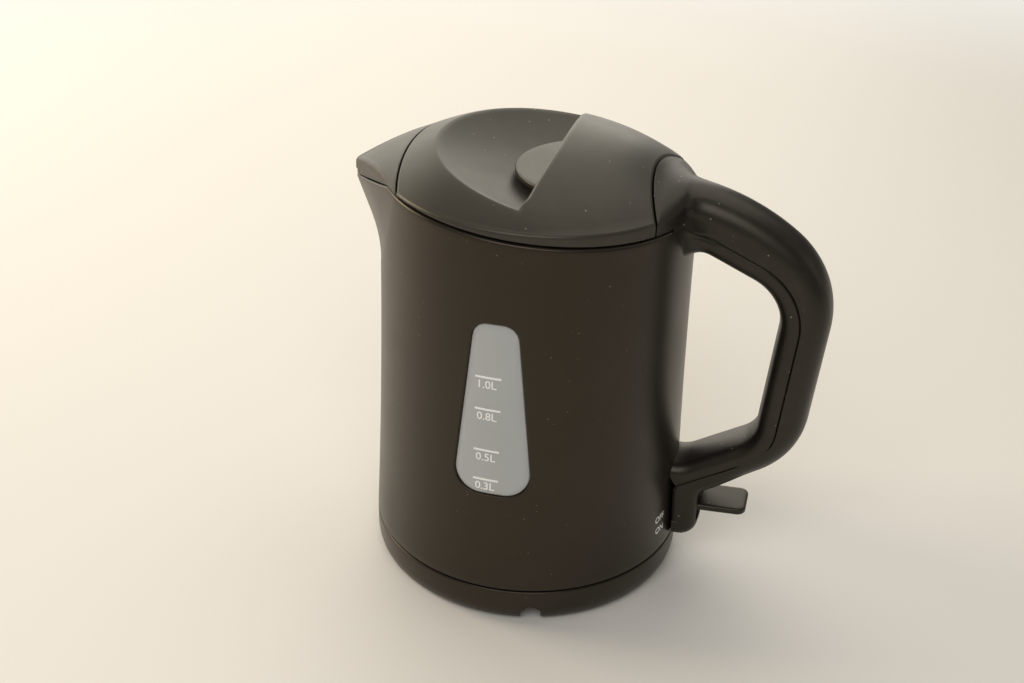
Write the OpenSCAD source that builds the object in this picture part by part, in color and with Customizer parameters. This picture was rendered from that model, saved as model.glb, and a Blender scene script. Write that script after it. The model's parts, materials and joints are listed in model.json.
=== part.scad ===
// Electric kettle on a round power base, as an assembly of separate pieces.
// Millimetres, +Z up, table at z = 0. Spout towards -X, handle towards +X, gauge window on -Y.

/* [Power base] */
// radius of the power base at its seam with the kettle
base_r = 72; // [66:0.5:80]
// how far the base's lower edge tucks in
base_tuck = 3.6; // [1:0.2:6]
// height of the base's top lip
base_h = 17.2; // [15:0.2:20]
// wall of the base mouldings
base_wall = 2.4; // [1.6:0.2:3.2]
// height of the rubber foot ring below the bottom plate
foot_h = 1.2; // [0.8:0.1:2]
// middle radius of the rubber foot ring
foot_r = 49; // [46:0.5:50]
// width of the rubber foot ring
foot_w = 5; // [3:0.5:6]
// half-round notch for the cord, radius
notch_r = 4.8; // [3:0.2:6]
// direction of the cord notch seen from above
notch_turn = -74; // [-180:1:180]
// radius of the central connector post
post_r = 16.6; // [14:0.2:20]

/* [Body] */
// outer radius of the body at the rim
body_r = 68; // [60:0.5:76]
// how much of the widening towards the foot is curved
body_flare = 4; // [0:0.2:6]
// gap between the base's lip and the body's lower edge
body_z = 0.8; // [0.4:0.1:2.8]
// height of the rim on the axis
rim_z = 185; // [165:1:210]
// slope of the rim, lower towards the handle
rim_tilt = 4; // [0:0.5:6]
// wall of the body moulding
wall = 2.6; // [1.8:0.1:3.4]
// how far the ledge round the mouth stands in from the rim's radius
mouth_r = 18.5; // [15:0.5:22]
// height of the heating plate above the body's lower edge
plate_z = 21.4; // [20:0.2:26]

/* [Spout] */
// reach of the spout tip past the rim's radius
spout_x = 15; // [10:0.5:22]
// radius of the spout tip in plan
spout_tip_r = 5; // [3:0.5:8]
// drop of the spout tip's lower lip below the rim
spout_tip_z = 9; // [3:0.5:15]
// lean of the spout's front edge
spout_lean = 21; // [15:0.5:28]
// how far the lid and spout cover seam lies inside the rim's radius
spout_seam_x = 12.5; // [10:0.5:15]

/* [Gauge window] */
// lower edge of the window
win_z0 = 66.5; // [55:0.5:80]
// upper edge of the window
win_z1 = 148.6; // [130:0.5:160]
// half width of the window at its lower corners
win_low = 17.4; // [12:0.2:22]
// half width of the window at its upper corners
win_top = 9.2; // [7:0.2:14]
// how far the lens sits below the body surface
win_sink = 0.7; // [0.3:0.1:1]

/* [Lid] */
// how much smaller the lid's radius is than the rim's
lid_r = 0.8; // [0:0.1:8]
// radius of the lid's dome
dome_r = 120; // [100:1:160]
// height of the dome's top above the rim
dome_top = 23; // [13:0.5:35]
// offset of the dome's centre along X
dome_x = -3; // [-8:0.5:4]
// shell of the lid mouldings
lid_wall = 2.2; // [1.6:0.1:3]
// gap between the lid's edge and the body's rim
lid_gap = 0.8; // [0.4:0.1:1.4]
// radius of the finger bowl's edge
bowl_r = 57.6; // [48:0.2:60]
// depth of the finger bowl below its edge
bowl_h = 10; // [6:0.5:12]
// lean of the finger bowl towards the handle
bowl_lean = 9; // [3:0.2:12]
// position of the bowl's upright wall along X
bowl_x = 11; // [2:0.5:14]
// radius of the upright wall's bow in plan
bow_r = 290; // [200:10:600]
// radius of the release tab's rounded edge
tab_r = 33; // [26:0.5:36]
// how far the release tab stands out of the upright wall
tab_out = 21; // [10:0.5:24]
// height of the release tab's top face above the rim
tab_z = 6.6; // [5:0.2:9]
// travel of the release tab
tab_travel = 5; // [3:0.5:6]
// how far the handle saddle reaches in from the rim's radius
saddle_x = 18.2; // [12:0.2:20]
// half width of the handle saddle at the lid's edge
saddle_w = 36.2; // [30:0.2:40]

/* [Handle] */
// width of the handle
handle_w = 26; // [20:0.5:32]
// reach of the grip past the base's radius
grip_x = 57.2; // [46:0.2:68]
// drop of the grip's straight part below the rim
grip_z = 52.2; // [40:0.2:65]
// length of the grip's straight part
grip_len = 45; // [35:0.5:55]
// lean of the grip
grip_lean = 4.4; // [0:0.2:8]
// outer radius of the upper bend
bend_top_r = 45.7; // [38:0.5:55]
// outer radius of the upper arm's sweep
arm_r = 100; // [80:1:130]
// outer radius of the lower bend
bend_low_r = 37.8; // [32:0.5:45]
// depth of the inner half of the handle
inner_t = 9; // [7:0.2:11]
// depth of the whole grip
grip_t = 21.4; // [18:0.2:25]
// shell of the handle mouldings
handle_wall = 2.3; // [1.6:0.1:3]
// rounding of the handle's outer edges
handle_round = 8; // [4:0.5:10]

/* [Switch] */
// reach of the switch housing's outer face past the base's radius
switch_x = 11.6; // [10:0.2:16]
// half width of the switch housing
switch_w = 12.5; // [11:0.1:15]
// reach of the lever's tip past the switch housing
lever_x = 20.9; // [11.4:0.1:28.4]
// half width of the lever plate
lever_w = 9.4; // [7:0.1:10]
// height of the lever's pivot above the body's lower edge
pivot_z = 15.6; // [14:0.2:18]
// thickness of the lever plate
lever_t = 3; // [2:0.1:4]

/* [Fits] */
// clearance of a pin in its bore
pin_gap = 0.05; // [0.02:0.01:0.1]
// gap between pieces that move past each other
run_gap = 0.4; // [0.3:0.05:0.8]
// radius of the small screws
screw_r = 1.45; // [1:0.05:2]

/* [Hidden] */
$fn = 96;
fine = 160;
base_bottom_r = base_r - base_tuck;
deck_z = base_h - 2.2;
deck_t = 2.2;
inner_r = body_r - wall;
foot_z = base_h + body_z;
heat_z = foot_z + plate_z;
neck_r = body_r - mouth_r;
beak_x = body_r + spout_x;
lip_z = rim_z - spout_tip_z;
seam_x = body_r - spout_seam_x;
edge_r = body_r - lid_r;
tab_h = rim_z + tab_z;
saddle_in = body_r - saddle_x;
grip_out = base_r + grip_x;
grip_h = rim_z - grip_z;
house_x = base_r + switch_x;
lever_out = house_x + lever_x;
pivot_h = foot_z + pivot_z;
post_z = foot_z + 9;
dome_z = rim_z + dome_top - dome_r;
bowl_R = (bowl_r*bowl_r + bowl_h*bowl_h)/(2*bowl_h);
bowl_d = sqrt(dome_r*dome_r - bowl_r*bowl_r) + bowl_R - bowl_h;
seam_R = 157;
seam_cx = seam_R - seam_x;
ledge_z1 = -5.1;
ledge_z0 = -7.5;
plug_r = neck_r - 1;
knee = 53.5;
root = 80;
low = -58.5;
pivot_x = house_x - 7;
hole_r = screw_r + 0.05;
// middle of the saddle's front arc, through its half width at the lid's edge
saddle_s = sqrt(edge_r*edge_r - saddle_w*saddle_w) - saddle_in;
saddle_R = (saddle_w*saddle_w + saddle_s*saddle_s)/(2*saddle_s);
// the spout cover's top: the cone that touches the dome along the seam
seam_rise = sqrt(dome_r*dome_r - pow(seam_x + dome_x, 2));
cone_a = asin((seam_rise - seam_x - dome_x)/sqrt(2)/dome_r);
// where the spout's sloping top edge leaves the rim
shoulder_x = body_r - 24;
// inner parts round the plate and the control
plate_fit = 2.4;
seal_w = 5.2;

function unit(v) = v/norm(v);
function dir(a) = [cos(a), sin(a)];
// outer radius of the body at height z
function br(z) = let (t = max(0, rim_z - z)/(rim_z - foot_z))
    body_r + (base_r - body_r - body_flare)*t + body_flare*t*t;
seal_r = br(heat_z) - wall - plate_fit;
plate_r = seal_r - 3;
seal_in = seal_r - seal_w;
spread_r = plate_r - 17;
control_ring = post_r + 10.4;
function turn(a) = a > 180 ? a - 360 : a < -180 ? a + 360 : a;
// corners of a polygon rounded with their own radii
function rounded(p, r, n = 10) = [for (i = [0:len(p)-1])
    let (a = p[(i+len(p)-1)%len(p)], b = p[(i+1)%len(p)], u = unit(a-p[i]), v = unit(b-p[i]),
         h = acos(u*v)/2, c = p[i] + unit(u+v)*r[i]/sin(h), s = p[i] + u*r[i]/tan(h),
         e = p[i] + v*r[i]/tan(h), a0 = atan2(s[1]-c[1], s[0]-c[0]),
         da = turn(atan2(e[1]-c[1], e[0]-c[0]) - a0))
    for (k = [0:(r[i] > 0 ? n : 0)]) r[i] > 0 ? c + r[i]*dir(a0 + da*k/n) : p[i]];
// meeting point of two lines given by their normals and distances
function meet(a, da, b, db) = [(da*sin(b) - db*sin(a))/sin(b-a), (db*cos(a) - da*cos(b))/sin(b-a)];

// handle outline, outer side
p_bc = [grip_out, grip_h];
c_b = p_bc - bend_top_r*dir(-grip_lean);
p_ab = c_b + bend_top_r*dir(knee);
c_a = p_ab - arm_r*dir(knee);
p_a0 = c_a + arm_r*dir(root);
p_cd = p_bc + grip_len*dir(-90-grip_lean);
c_d = p_cd - bend_low_r*dir(-grip_lean);
p_de = c_d + bend_low_r*dir(low);
// handle outline, finger side: three lines given by normal and distance
g_top = 68.4;
g_low = -59;
d_grip = p_bc*dir(-grip_lean) - grip_t;
d_top = (p_ab - 22.6*dir(knee))*dir(g_top) - 0.6;
d_low = p_de*dir(low) - grip_t + 2.6;
gap_r = 13;
gap_c1 = meet(g_top, d_top - gap_r, -grip_lean, d_grip - gap_r);
gap_c2 = meet(-grip_lean, d_grip - gap_r, g_low, d_low - gap_r);
function on_top(x, off) = (d_top + off - x*cos(g_top))/sin(g_top);
function on_low(x, off) = (d_low + off - x*cos(g_low))/sin(g_low);
function grip_in(z) = (d_grip - z*sin(-grip_lean))/cos(grip_lean);

c_black = [0.09, 0.085, 0.08];
c_dark = [0.13, 0.12, 0.12];
c_grey = [0.55, 0.56, 0.57];
c_steel = [0.75, 0.75, 0.74];
c_brass = [0.78, 0.62, 0.3];
c_clear = [0.72, 0.77, 0.8, 0.6];
c_rubber = [0.2, 0.2, 0.2];

// tilted slab between two heights above the rim plane
module slab(z0, z1) translate([0, 0, rim_z]) rotate([0, rim_tilt, 0])
    translate([-120, -100, z0]) cube([260, 200, z1 - z0]);
module tube(ro, ri, z0, z1) translate([0, 0, z0]) difference() {
    cylinder(r = ro, h = z1 - z0);
    translate([0, 0, -1]) cylinder(r = ri, h = z1 - z0 + 2);
}
module disc(r, z0, z1) translate([0, 0, z0]) cylinder(r = r, h = z1 - z0);
module ring3(r, a0) for (k = [0:2]) rotate([0, 0, a0 + 120*k]) translate([r, 0, 0]) children();
module screw(head_r, head_h, len) {
    cylinder(r = head_r, h = head_h, $fn = 24);
    translate([0, 0, head_h - 0.2]) cylinder(r = screw_r, h = len + 0.2, $fn = 24);
}
// region inside the body wall's outer face, moved by off, between two heights
module body_region(off, z0, z1) rotate_extrude($fn = fine) polygon(concat([[0, z0]],
    [for (k = [0:14]) let (z = z0 + (z1-z0)*k/14) [br(z) + off, z]], [[0, z1]]));

// power base
boss_ring = 38;
module base_cover() color(c_black) difference() {
    union() {
        rotate_extrude($fn = fine) polygon([[base_bottom_r-1.5, foot_h], [base_bottom_r, foot_h],
            [base_r-1.9, 2.4], [base_r-0.7, 4.6], [base_r, 8], [base_r, base_h-0.6],
            [base_r-0.5, base_h], [base_r-base_wall, base_h], [base_r-base_wall-0.6, base_h-0.6],
            [base_r-base_wall-1, deck_z], [post_r+0.4, deck_z], [post_r+0.4, deck_z-deck_t],
            [base_r-base_wall-0.1, deck_z-deck_t], [base_r-base_wall-0.1, 8],
            [base_r-base_wall-0.7, 4.8], [base_r-base_wall-2.2, 3.2]]);
        ring3(boss_ring, 30) disc(4, foot_h+3, deck_z-deck_t+1);
    }
    rotate([0, 0, notch_turn]) translate([base_bottom_r-10, 0, notch_r-0.6]) rotate([0, 90, 0])
        cylinder(r = notch_r, h = 24, $fn = 32);
    rotate([0, 0, notch_turn]) translate([base_bottom_r-10, -notch_r, -1]) cube([24, 2*notch_r, notch_r+0.4]);
    ring3(boss_ring, 30) disc(hole_r, 0, 11);
}
module base_plate() color(c_dark) difference() {
    union() {
        disc(base_bottom_r-1.9, foot_h, foot_h+3);
        tube(30, 28, foot_h+2, foot_h+5);
    }
    ring3(boss_ring, 30) { disc(3.2, 0, foot_h+1.8); disc(hole_r+0.1, 0, 9); }
    tube(foot_r+foot_w/2+0.2, foot_r-foot_w/2-0.2, 0, foot_h+0.8);
    rotate([0, 0, notch_turn]) translate([base_bottom_r-14, -notch_r, 0]) cube([24, 2*notch_r, 9]);
    for (k = [-3:3]) translate([k*6-1.2, -18, 0]) cube([2.4, 36, 9]);
}
module foot_ring() color(c_rubber) tube(foot_r+foot_w/2, foot_r-foot_w/2, 0, foot_h+0.8);
module base_screws() color(c_steel) ring3(boss_ring, 30) translate([0, 0, foot_h+0.2]) screw(2.9, 1.6, 7);
module connector_post() color(c_dark) difference() {
    union() { disc(post_r, deck_z-5.5, post_z); disc(post_r+4.4, deck_z-5.5, deck_z-deck_t); }
    disc(3.2, deck_z-3, post_z+3);
    tube(8.4, 5.5, deck_z-1, post_z+3);
    tube(13, 10.1, deck_z-1, post_z+3);
}
module contact_inner() color(c_brass) tube(6.2, 5.6, deck_z-1, post_z-3);
module contact_outer() color(c_brass) tube(10.8, 10.2, deck_z-1, post_z-3);
module earth_clip() color(c_brass) tube(3.1, 2.7, deck_z-3, post_z-7);

// kettle body
module window_prism(grow) rotate([90, 0, 0]) linear_extrude(100) polygon(rounded(
    [[-win_low-grow, win_z0-grow], [win_low+grow, win_z0-grow], [win_top+grow, win_z1+grow],
     [-win_top-grow, win_z1+grow]], [11+grow, 11+grow, 7+grow, 7+grow]));
module shell_band(o0, o1) difference() {
    body_region(o1, win_z0-8, win_z1+8);
    body_region(o0, win_z0-9, win_z1+9);
}
module spout_wedge(r) let (t = 54.9, p = r*[-sin(t), cos(t)], q = p + 70*dir(t))
    translate([-beak_x + spout_tip_r/cos(spout_lean) + 46*tan(spout_lean), 0, lip_z-46])
    rotate([0, -spout_lean, 0]) linear_extrude(90) polygon(concat([q],
        [for (k = [0:10]) r*dir(90+t + (180-2*t)*k/10)], [[q[0], -q[1]]]));
// space above the spout's sloping top edge
module over_spout(lift) translate([-shoulder_x, 0, rim_z + shoulder_x*tan(rim_tilt) - 0.5 + lift])
    rotate([0, -spout_slope, 0]) translate([-90, -100, 0]) cube([90, 200, 60]);
spout_slope = atan((rim_z + shoulder_x*tan(rim_tilt) - 0.5 - lip_z)/(beak_x - shoulder_x));
module spout_top(cut) let (d = (dome_r-cut)/sin(cone_a)) translate([dome_x, 0, dome_z]) rotate([0, 225, 0])
    translate([0, 0, -d*0.4]) cylinder(h = d*0.6, r1 = d*0.6*tan(cone_a), r2 = d*1.2*tan(cone_a), $fn = fine);
// cross-section of a handle half: a channel w half-wide, D deep, rounded by c at its closed side
function channel(D, w, c, t, n = 5) = concat([[D, -w]],
    [for (k = [0:n]) [c - c*sin(90*k/n), c - w - c*cos(90*k/n)]],
    [for (k = [0:n]) [c - c*cos(90*k/n), w - c + c*sin(90*k/n)]], [[D, w], [D, w-t]],
    [for (k = [0:n]) [c - (c-t)*sin(90*k/n), w - c + (c-t)*cos(90*k/n)]],
    [for (k = [0:n]) [c - (c-t)*cos(90*k/n), c - w - (c-t)*sin(90*k/n)]], [[D, t-w]]);
// channel carried along stations of point, outward angle and depth
module carried(st, c, sgn) {
    sec = [for (s = st) channel(s[2], handle_w/2, c, handle_wall)];
    m = len(sec[0]); n = len(st);
    polyhedron(points = [for (i = [0:n-1]) for (q = sec[i])
            [st[i][0][0] - sgn*q[0]*cos(st[i][1]), q[1], st[i][0][1] - sgn*q[0]*sin(st[i][1])]],
        faces = concat([for (e = [0, n-1]) for (j = [0:m/2-2])
                let (a = e*m+j, b = a+1, c = e*m+m-1-j, d = c-1)
                for (f = [[a, b, d], [a, d, c]]) e == 0 ? [f[2], f[1], f[0]] : f],
            [for (i = [0:n-2]) for (j = [0:m-1]) [i*m+j, i*m+(j+1)%m, (i+1)*m+(j+1)%m]],
            [for (i = [0:n-2]) for (j = [0:m-1]) [i*m+j, (i+1)*m+(j+1)%m, (i+1)*m+j]]), convexity = 8);
}
function bend(c, r, a0, a1, n) = [for (k = [0:n]) let (a = a0 + (a1-a0)*k/n) [c + r*dir(a), a]];
// depth from the outer side to the seam between the handle halves
seam_off = inner_t + 0.25;
function seam_cut(p, a, c, lo, hi, t) = let (e = p - t*dir(a) - c, g = atan2(e[1], e[0]),
        q = p - c, h = q*dir(a))
    g < lo || g > hi ? t : h - sqrt(max(0, h*h - q*q + pow(gap_r + seam_off, 2)));
function to_line(p, a, m, d) = dir(a)*dir(m) > 0.2 ? (p*dir(m) - d - seam_off)/(dir(a)*dir(m)) : 0;
function seam_depth(p, a) = let (t = max(to_line(p, a, g_top, d_top), to_line(p, a, -grip_lean, d_grip),
        to_line(p, a, g_low, d_low)))
    max(seam_cut(p, a, gap_c1, -grip_lean, g_top, t), seam_cut(p, a, gap_c2, g_low, -grip_lean, t), 8);
outer_path = concat([[p_a0 - 17*dir(root-90), root]], bend(c_a, arm_r, root, knee, 8),
    bend(c_b, bend_top_r, knee - 4, -grip_lean, 14), bend(c_d, bend_low_r, -grip_lean, low, 12),
    [[p_de + (house_x + 0.7 - p_de[0])/cos(low-90)*dir(low-90), low]]);
inner_path = concat([[[base_r-10, on_low(base_r-10, 0)], g_low]], bend(gap_c2, gap_r, g_low, -grip_lean, 8),
    bend(gap_c1, gap_r, -grip_lean, g_top, 8), [[[body_r-8, on_top(body_r-8, 0)], g_top]]);
module handle_arm() carried([for (s = outer_path) [s[0], s[1], seam_depth(s[0], s[1])]], handle_round, 1);
module handle_band() carried([for (s = inner_path) [s[0], s[1], inner_t]], 5, -1);
module at_grip(z) translate([grip_in(z), 0, z]) rotate([0, 90+grip_lean, 0]) children();
screw_zs = [grip_h-6, grip_h-34];
module handle_inner() color(c_black) difference() {
    union() {
        handle_band();
        for (z = screw_zs) at_grip(z) translate([0, 0, 1]) cylinder(r = 3.6, h = inner_t-1, $fn = 32);
    }
    body_region(0, 20, rim_z+12);
    for (z = screw_zs) at_grip(z) {
        translate([0, 0, -1]) cylinder(r = 3.1, h = 2.6, $fn = 32);
        cylinder(r = hole_r+0.1, h = 30, $fn = 24);
    }
}
module body_shell() color(c_black) difference() {
    union() {
        body_region(0, foot_z, rim_z+12);
        intersection() {
            spout_wedge(spout_tip_r);
            translate([-beak_x-17, -60, lip_z-46]) cube([62, 120, 70]);
            translate([0, 0, lip_z-56]) linear_extrude(90) spout_plan(-0.75);
        }
    }
    difference() {
        body_region(-wall, foot_z-1, rim_z+13);
        // ledge for the heating plate
        tube(base_r, seal_in-0.3, heat_z-3.4, heat_z-1);
        // ledge for the lid
        intersection() { slab(ledge_z0, ledge_z1); tube(body_r, neck_r, rim_z-30, rim_z+20); }
        ring3(base_r-6.2, 90) disc(4.2, foot_z+2, heat_z-2);
    }
    intersection() {
        spout_wedge(spout_tip_r - 2.2);
        translate([0, 0, lip_z-60]) linear_extrude(90) spout_plan(wall);
    }
    over_spout(0);
    slab(0, 60);
    window_prism(0.15);
    ring3(base_r-6.2, 90) disc(hole_r, 0, heat_z-5);
    // steam port into the hollow handle
    translate([inner_r-6, 0, on_top(inner_r, inner_t)+1.6]) rotate([0, 90, 0])
        cylinder(r = 1.4, h = 14, $fn = 24);
}
pivot_latch = bowl_x + 14.5;
module window_lens() color(c_clear) union() {
    intersection() { shell_band(-wall-1, -win_sink); window_prism(0); }
    intersection() { shell_band(-wall-2.4, -wall-0.8); window_prism(3); }
}
module window_gasket() color(c_rubber) difference() {
    intersection() { shell_band(-wall-0.8, -wall); window_prism(3); }
    window_prism(0.15);
}
module spout_plan(cut) let (r = spout_tip_r-cut, R = edge_r-cut, cx = beak_x-spout_tip_r,
    a = acos((R-r)/cx)) polygon(concat([for (k = [0:6]) R*dir(100 + (80-a)*k/6)],
        [for (k = [0:10]) [-cx, 0] + r*dir(180-a + 2*a*k/10)],
        [for (k = [0:6]) R*dir(180+a + (80-a)*k/6)]));
module dome(cut) translate([dome_x, 0, dome_z]) sphere(r = dome_r-cut, $fn = fine);
module spout_cover() color(c_black) difference() {
    intersection() {
        spout_top(0);
        translate([0, 0, rim_z-25]) linear_extrude(60) difference() {
            spout_plan(0);
            translate([seam_cx, 0]) circle(r = seam_R+0.3, $fn = 400);
        }
        over_spout(0);
    }
    intersection() {
        spout_top(lid_wall);
        translate([0, 0, rim_z-30]) linear_extrude(70) spout_plan(lid_wall);
    }
    // pour opening at the tip
    translate([-beak_x-2, 1-spout_tip_r, lip_z-3]) cube([spout_tip_r+2, 2*spout_tip_r-2, 5.6]);
}
module saddle_plan(cut) translate([saddle_in + saddle_R, 0]) circle(r = saddle_R-cut, $fn = 400);
module switch_block(cut) let (w = switch_w-cut, x = house_x-cut, z = foot_z+0.6+cut, r = 9-cut,
    e = max(1, 5-cut), x0 = base_r-12) intersection() {
    rotate([90, 0, 0]) translate([0, 0, -30]) linear_extrude(60) {
        translate([x0, z+r]) square([x-x0, pivot_h+18.4-z-r]);
        translate([x0, z]) square([x-x0-r, 12]);
        translate([x-r, z+r]) circle(r = r, $fn = 48);
    }
    linear_extrude(90) {
        translate([x0, -w]) square([x-x0-e, 2*w]);
        translate([x0, -w+e]) square([x-x0, 2*w-2*e]);
        for (s = [-1, 1]) translate([x-e, s*(w-e)]) circle(r = e, $fn = 32);
    }
}
// finger side of the seam between the halves of the lower arm
module under_seam() rotate([0, -g_low, 0]) translate([d_low+seam_off-59.9, -30, -200]) cube([60, 60, 400]);
module handle_cover() color(c_black) difference() {
    union() {
        handle_arm();
        difference() { switch_block(0); switch_block(handle_wall); under_seam(); }
        difference() {
            intersection() { dome(0); slab(0.5, 60); disc(edge_r, rim_z-20, rim_z+40);
                translate([0, 0, rim_z-30]) linear_extrude(80) saddle_plan(0); }
            intersection() { dome(lid_wall); disc(edge_r-lid_wall, rim_z-30, rim_z+40);
                translate([0, 0, rim_z-40]) linear_extrude(90) saddle_plan(lid_wall); }
        }
        for (z = screw_zs) at_grip(z) translate([0, 0, inner_t+0.3])
            cylinder(r = 3.6, h = grip_t-inner_t-1.3, $fn = 32);
    }
    translate([0, 0, rim_z-30]) linear_extrude(90) difference() {
        translate([0, -60]) square([saddle_in+12, 120]);
        saddle_plan(0);
    }
    difference() { body_region(0.2, foot_z-4, rim_z+12); slab(0.5, 60); }
    // slot for the lever
    translate([house_x-6, -lever_w-run_gap, pivot_h-6.4]) cube([12, 2*lever_w+2*run_gap, 12.6]);
    translate([pivot_x, 0, pivot_h]) rotate([90, 0, 0]) translate([0, 0, -switch_w+0.7])
        cylinder(r = 1.5+pin_gap, h = 2*switch_w-1.4, $fn = 32);
    for (z = screw_zs) at_grip(z) cylinder(r = hole_r, h = 17, $fn = 24);
}
module handle_screws() color(c_steel) for (z = screw_zs) at_grip(z)
    translate([0, 0, 0.2]) screw(2.9, 1.4, 14.6);

// heater and controls under the vessel
module heating_plate() color(c_steel) disc(plate_r, heat_z, heat_z+1);
module plate_seal() color(c_rubber) difference() {
    tube(seal_r, seal_in, heat_z-1, heat_z+2.2);
    disc(plate_r+0.01, heat_z-0.01, heat_z+1.01);
}
module heat_spreader() color(c_grey) difference() {
    union() { disc(spread_r, heat_z-2.5, heat_z); ring3(control_ring, 30) disc(3.2, heat_z-7, heat_z-2); }
    ring3(control_ring, 30) disc(hole_r, heat_z-8, heat_z-1.2);
}
module heater_ring() color(c_grey) {
    rotate([0, 0, 200]) rotate_extrude(angle = 320, $fn = fine)
        translate([spread_r-11.4, heat_z-8.5]) square([7, 6]);
    for (a = [204, 156]) rotate([0, 0, a]) translate([spread_r-7.9, 0, 0]) disc(1.7, heat_z-15, heat_z-8.3);
}
module control_unit() color(c_dark) difference() {
    union() { disc(post_r+7.4, foot_z+2, heat_z-9); disc(post_r+14.4, heat_z-9, heat_z-7);
        for (s = [-1, 1]) translate([post_r+5.4, s*6.4-3, foot_z+4]) cube([7, 6, 8]); }
    disc(post_r+0.8, 0, post_z+1.6);
    ring3(control_ring, 30) disc(hole_r+0.1, foot_z, heat_z+20);
    for (s = [-1, 1]) translate([0, s*12, 0]) disc(6.1, heat_z-7.6, heat_z);
}
module control_screws() color(c_steel) ring3(control_ring, 30)
    translate([0, 0, heat_z-10.4]) screw(2.6, 1.4, 6.6);
module bimetal_discs() color(c_brass) for (s = [-1, 1]) translate([0, s*12, 0]) disc(6, heat_z-7.6, heat_z-7);
module socket_pin() color(c_steel) disc(2.2, foot_z-1.5, post_z+1.6);
module socket_ring_inner() color(c_brass) tube(7.6, 6.8, foot_z-1.5, post_z+1.6);
module socket_ring_outer() color(c_brass) tube(12.2, 11.4, foot_z-1.5, post_z+1.6);
module bottom_cover() color(c_dark) difference() {
    union() {
        tube(base_r-wall-0.5, post_r+1, foot_z-0.4, foot_z+2);
        tube(base_r-11, base_r-14, deck_z+0.1, foot_z);
        for (k = [0:5]) rotate([0, 0, 60*k+30]) translate([post_r+13.4, -1, foot_z+1])
            cube([base_r-18-post_r-13.4, 2, 2.5]);
    }
    ring3(base_r-6.2, 90) { disc(3, 0, foot_z+1); disc(hole_r+0.1, 0, 30); }
}
module bottom_screws() color(c_steel) ring3(base_r-6.2, 90) translate([0, 0, foot_z-0.3]) screw(2.8, 1.3, 10);
module steam_switch() color(c_dark) difference() {
    translate([house_x-handle_wall-7.8, -7, pivot_h+8.9]) cube([7.8, 14, 9]);
    translate([house_x-handle_wall-5.8, -5, pivot_h+8.4]) cube([3.6, 10, 4]);
}
module steam_disc() color(c_brass) translate([house_x-handle_wall-3.9, 0, pivot_h+17.9])
    cylinder(r = 3.8, h = 0.5);
module lever_pin() color(c_steel) translate([pivot_x, 0, pivot_h]) rotate([90, 0, 0])
    translate([0, 0, -switch_w+0.9]) cylinder(r = 1.5, h = 2*switch_w-1.8, $fn = 32);
module switch_lever() color(c_black) difference() {
    union() {
        translate([pivot_x, 0, pivot_h]) rotate([90, 0, 0]) translate([0, 0, 0.6-lever_w])
            cylinder(r = 3.8, h = 2*lever_w-1.2, $fn = 48);
        translate([pivot_x, 0, pivot_h]) rotate([0, -3, 0]) intersection() {
            translate([0, -lever_w, -0.2]) cube([lever_out-pivot_x, 2*lever_w, lever_t]);
            translate([0, 0, -4]) linear_extrude(12) union() {
                translate([-1, -lever_w-1]) square([lever_out-pivot_x-3, 2*lever_w+2]);
                translate([0, -lever_w+4]) square([lever_out-pivot_x, 2*lever_w-8]);
                for (s = [-1, 1]) translate([lever_out-pivot_x-4, s*(lever_w-4)]) circle(r = 4, $fn = 32);
            }
        }
    }
    translate([pivot_x, 0, pivot_h]) rotate([90, 0, 0]) translate([0, 0, -20])
        cylinder(r = 1.5+pin_gap, h = 40, $fn = 32);
}

// lid
module lid_plan(r, cut) difference() {
    intersection() {
        circle(r = r, $fn = fine);
        translate([seam_cx, 0]) circle(r = seam_R-0.3-cut, $fn = 400);
    }
    saddle_plan(-0.6-cut);
}
module bowl(cut) intersection() {
    translate([dome_x + bowl_d*sin(bowl_lean), 0, dome_z + bowl_d*cos(bowl_lean)])
        sphere(r = bowl_R+cut, $fn = fine);
    translate([bowl_x-bow_r, 0, rim_z-30]) cylinder(r = bow_r+cut, h = 80, $fn = 400);
}
flange_r = body_r - wall - 2.9;
lid_posts = [for (a = [51, -51, 119, -119]) (flange_r + plug_r)/2*dir(a)];
module in_lid() translate([0, 0, rim_z]) rotate([0, rim_tilt, 0]) children();
module lid_top() color(c_black) difference() {
    union() {
        difference() {
            intersection() {
                dome(0);
                slab(lid_gap, 60);
                translate([0, 0, rim_z-20]) linear_extrude(60) lid_plan(edge_r, 0);
            }
            difference() {
                intersection() {
                    dome(lid_wall);
                    translate([0, 0, rim_z-30]) linear_extrude(80) lid_plan(edge_r-lid_wall, lid_wall);
                }
                bowl(lid_wall);
            }
        }
        intersection() {
            dome(0.5);
            in_lid() for (p = lid_posts) translate([p[0], p[1], -2.6]) cylinder(r = 3.6, h = 40, $fn = 32);
        }
        intersection() { dome(0.5); translate([bowl_x+35, -5, rim_z-1]) cube([2.4, 10, 40]); }
    }
    bowl(0);
    in_lid() for (p = lid_posts) translate([p[0], p[1], -3]) cylinder(r = hole_r, h = 9, $fn = 24);
    // slot the release tab comes through
    translate([bowl_x-5, -tab_r+0.4, tab_h-3.4]) cube([lid_wall+7, 2*tab_r-0.8, 4.2]);
}
module lid_inner() color(c_dark) difference() {
    union() {
        intersection() {
            slab(-4.8, -2.6);
            translate([0, 0, rim_z-30]) linear_extrude(60) lid_plan(flange_r, 3);
        }
        intersection() { slab(-17, -2.6); disc(plug_r, rim_z-40, rim_z+10); }
    }
    intersection() { slab(-15, 20); disc(plug_r-lid_wall, rim_z-40, rim_z+20); }
    in_lid() for (p = lid_posts) translate([p[0], p[1], -6]) {
        cylinder(r = 2.8, h = 2.6, $fn = 32);
        cylinder(r = hole_r+0.1, h = 9, $fn = 24);
    }
    // steam slots
    for (k = [-2:2]) translate([30, k*6-1, rim_z-40]) cube([12, 2, 30]);
}
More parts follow.
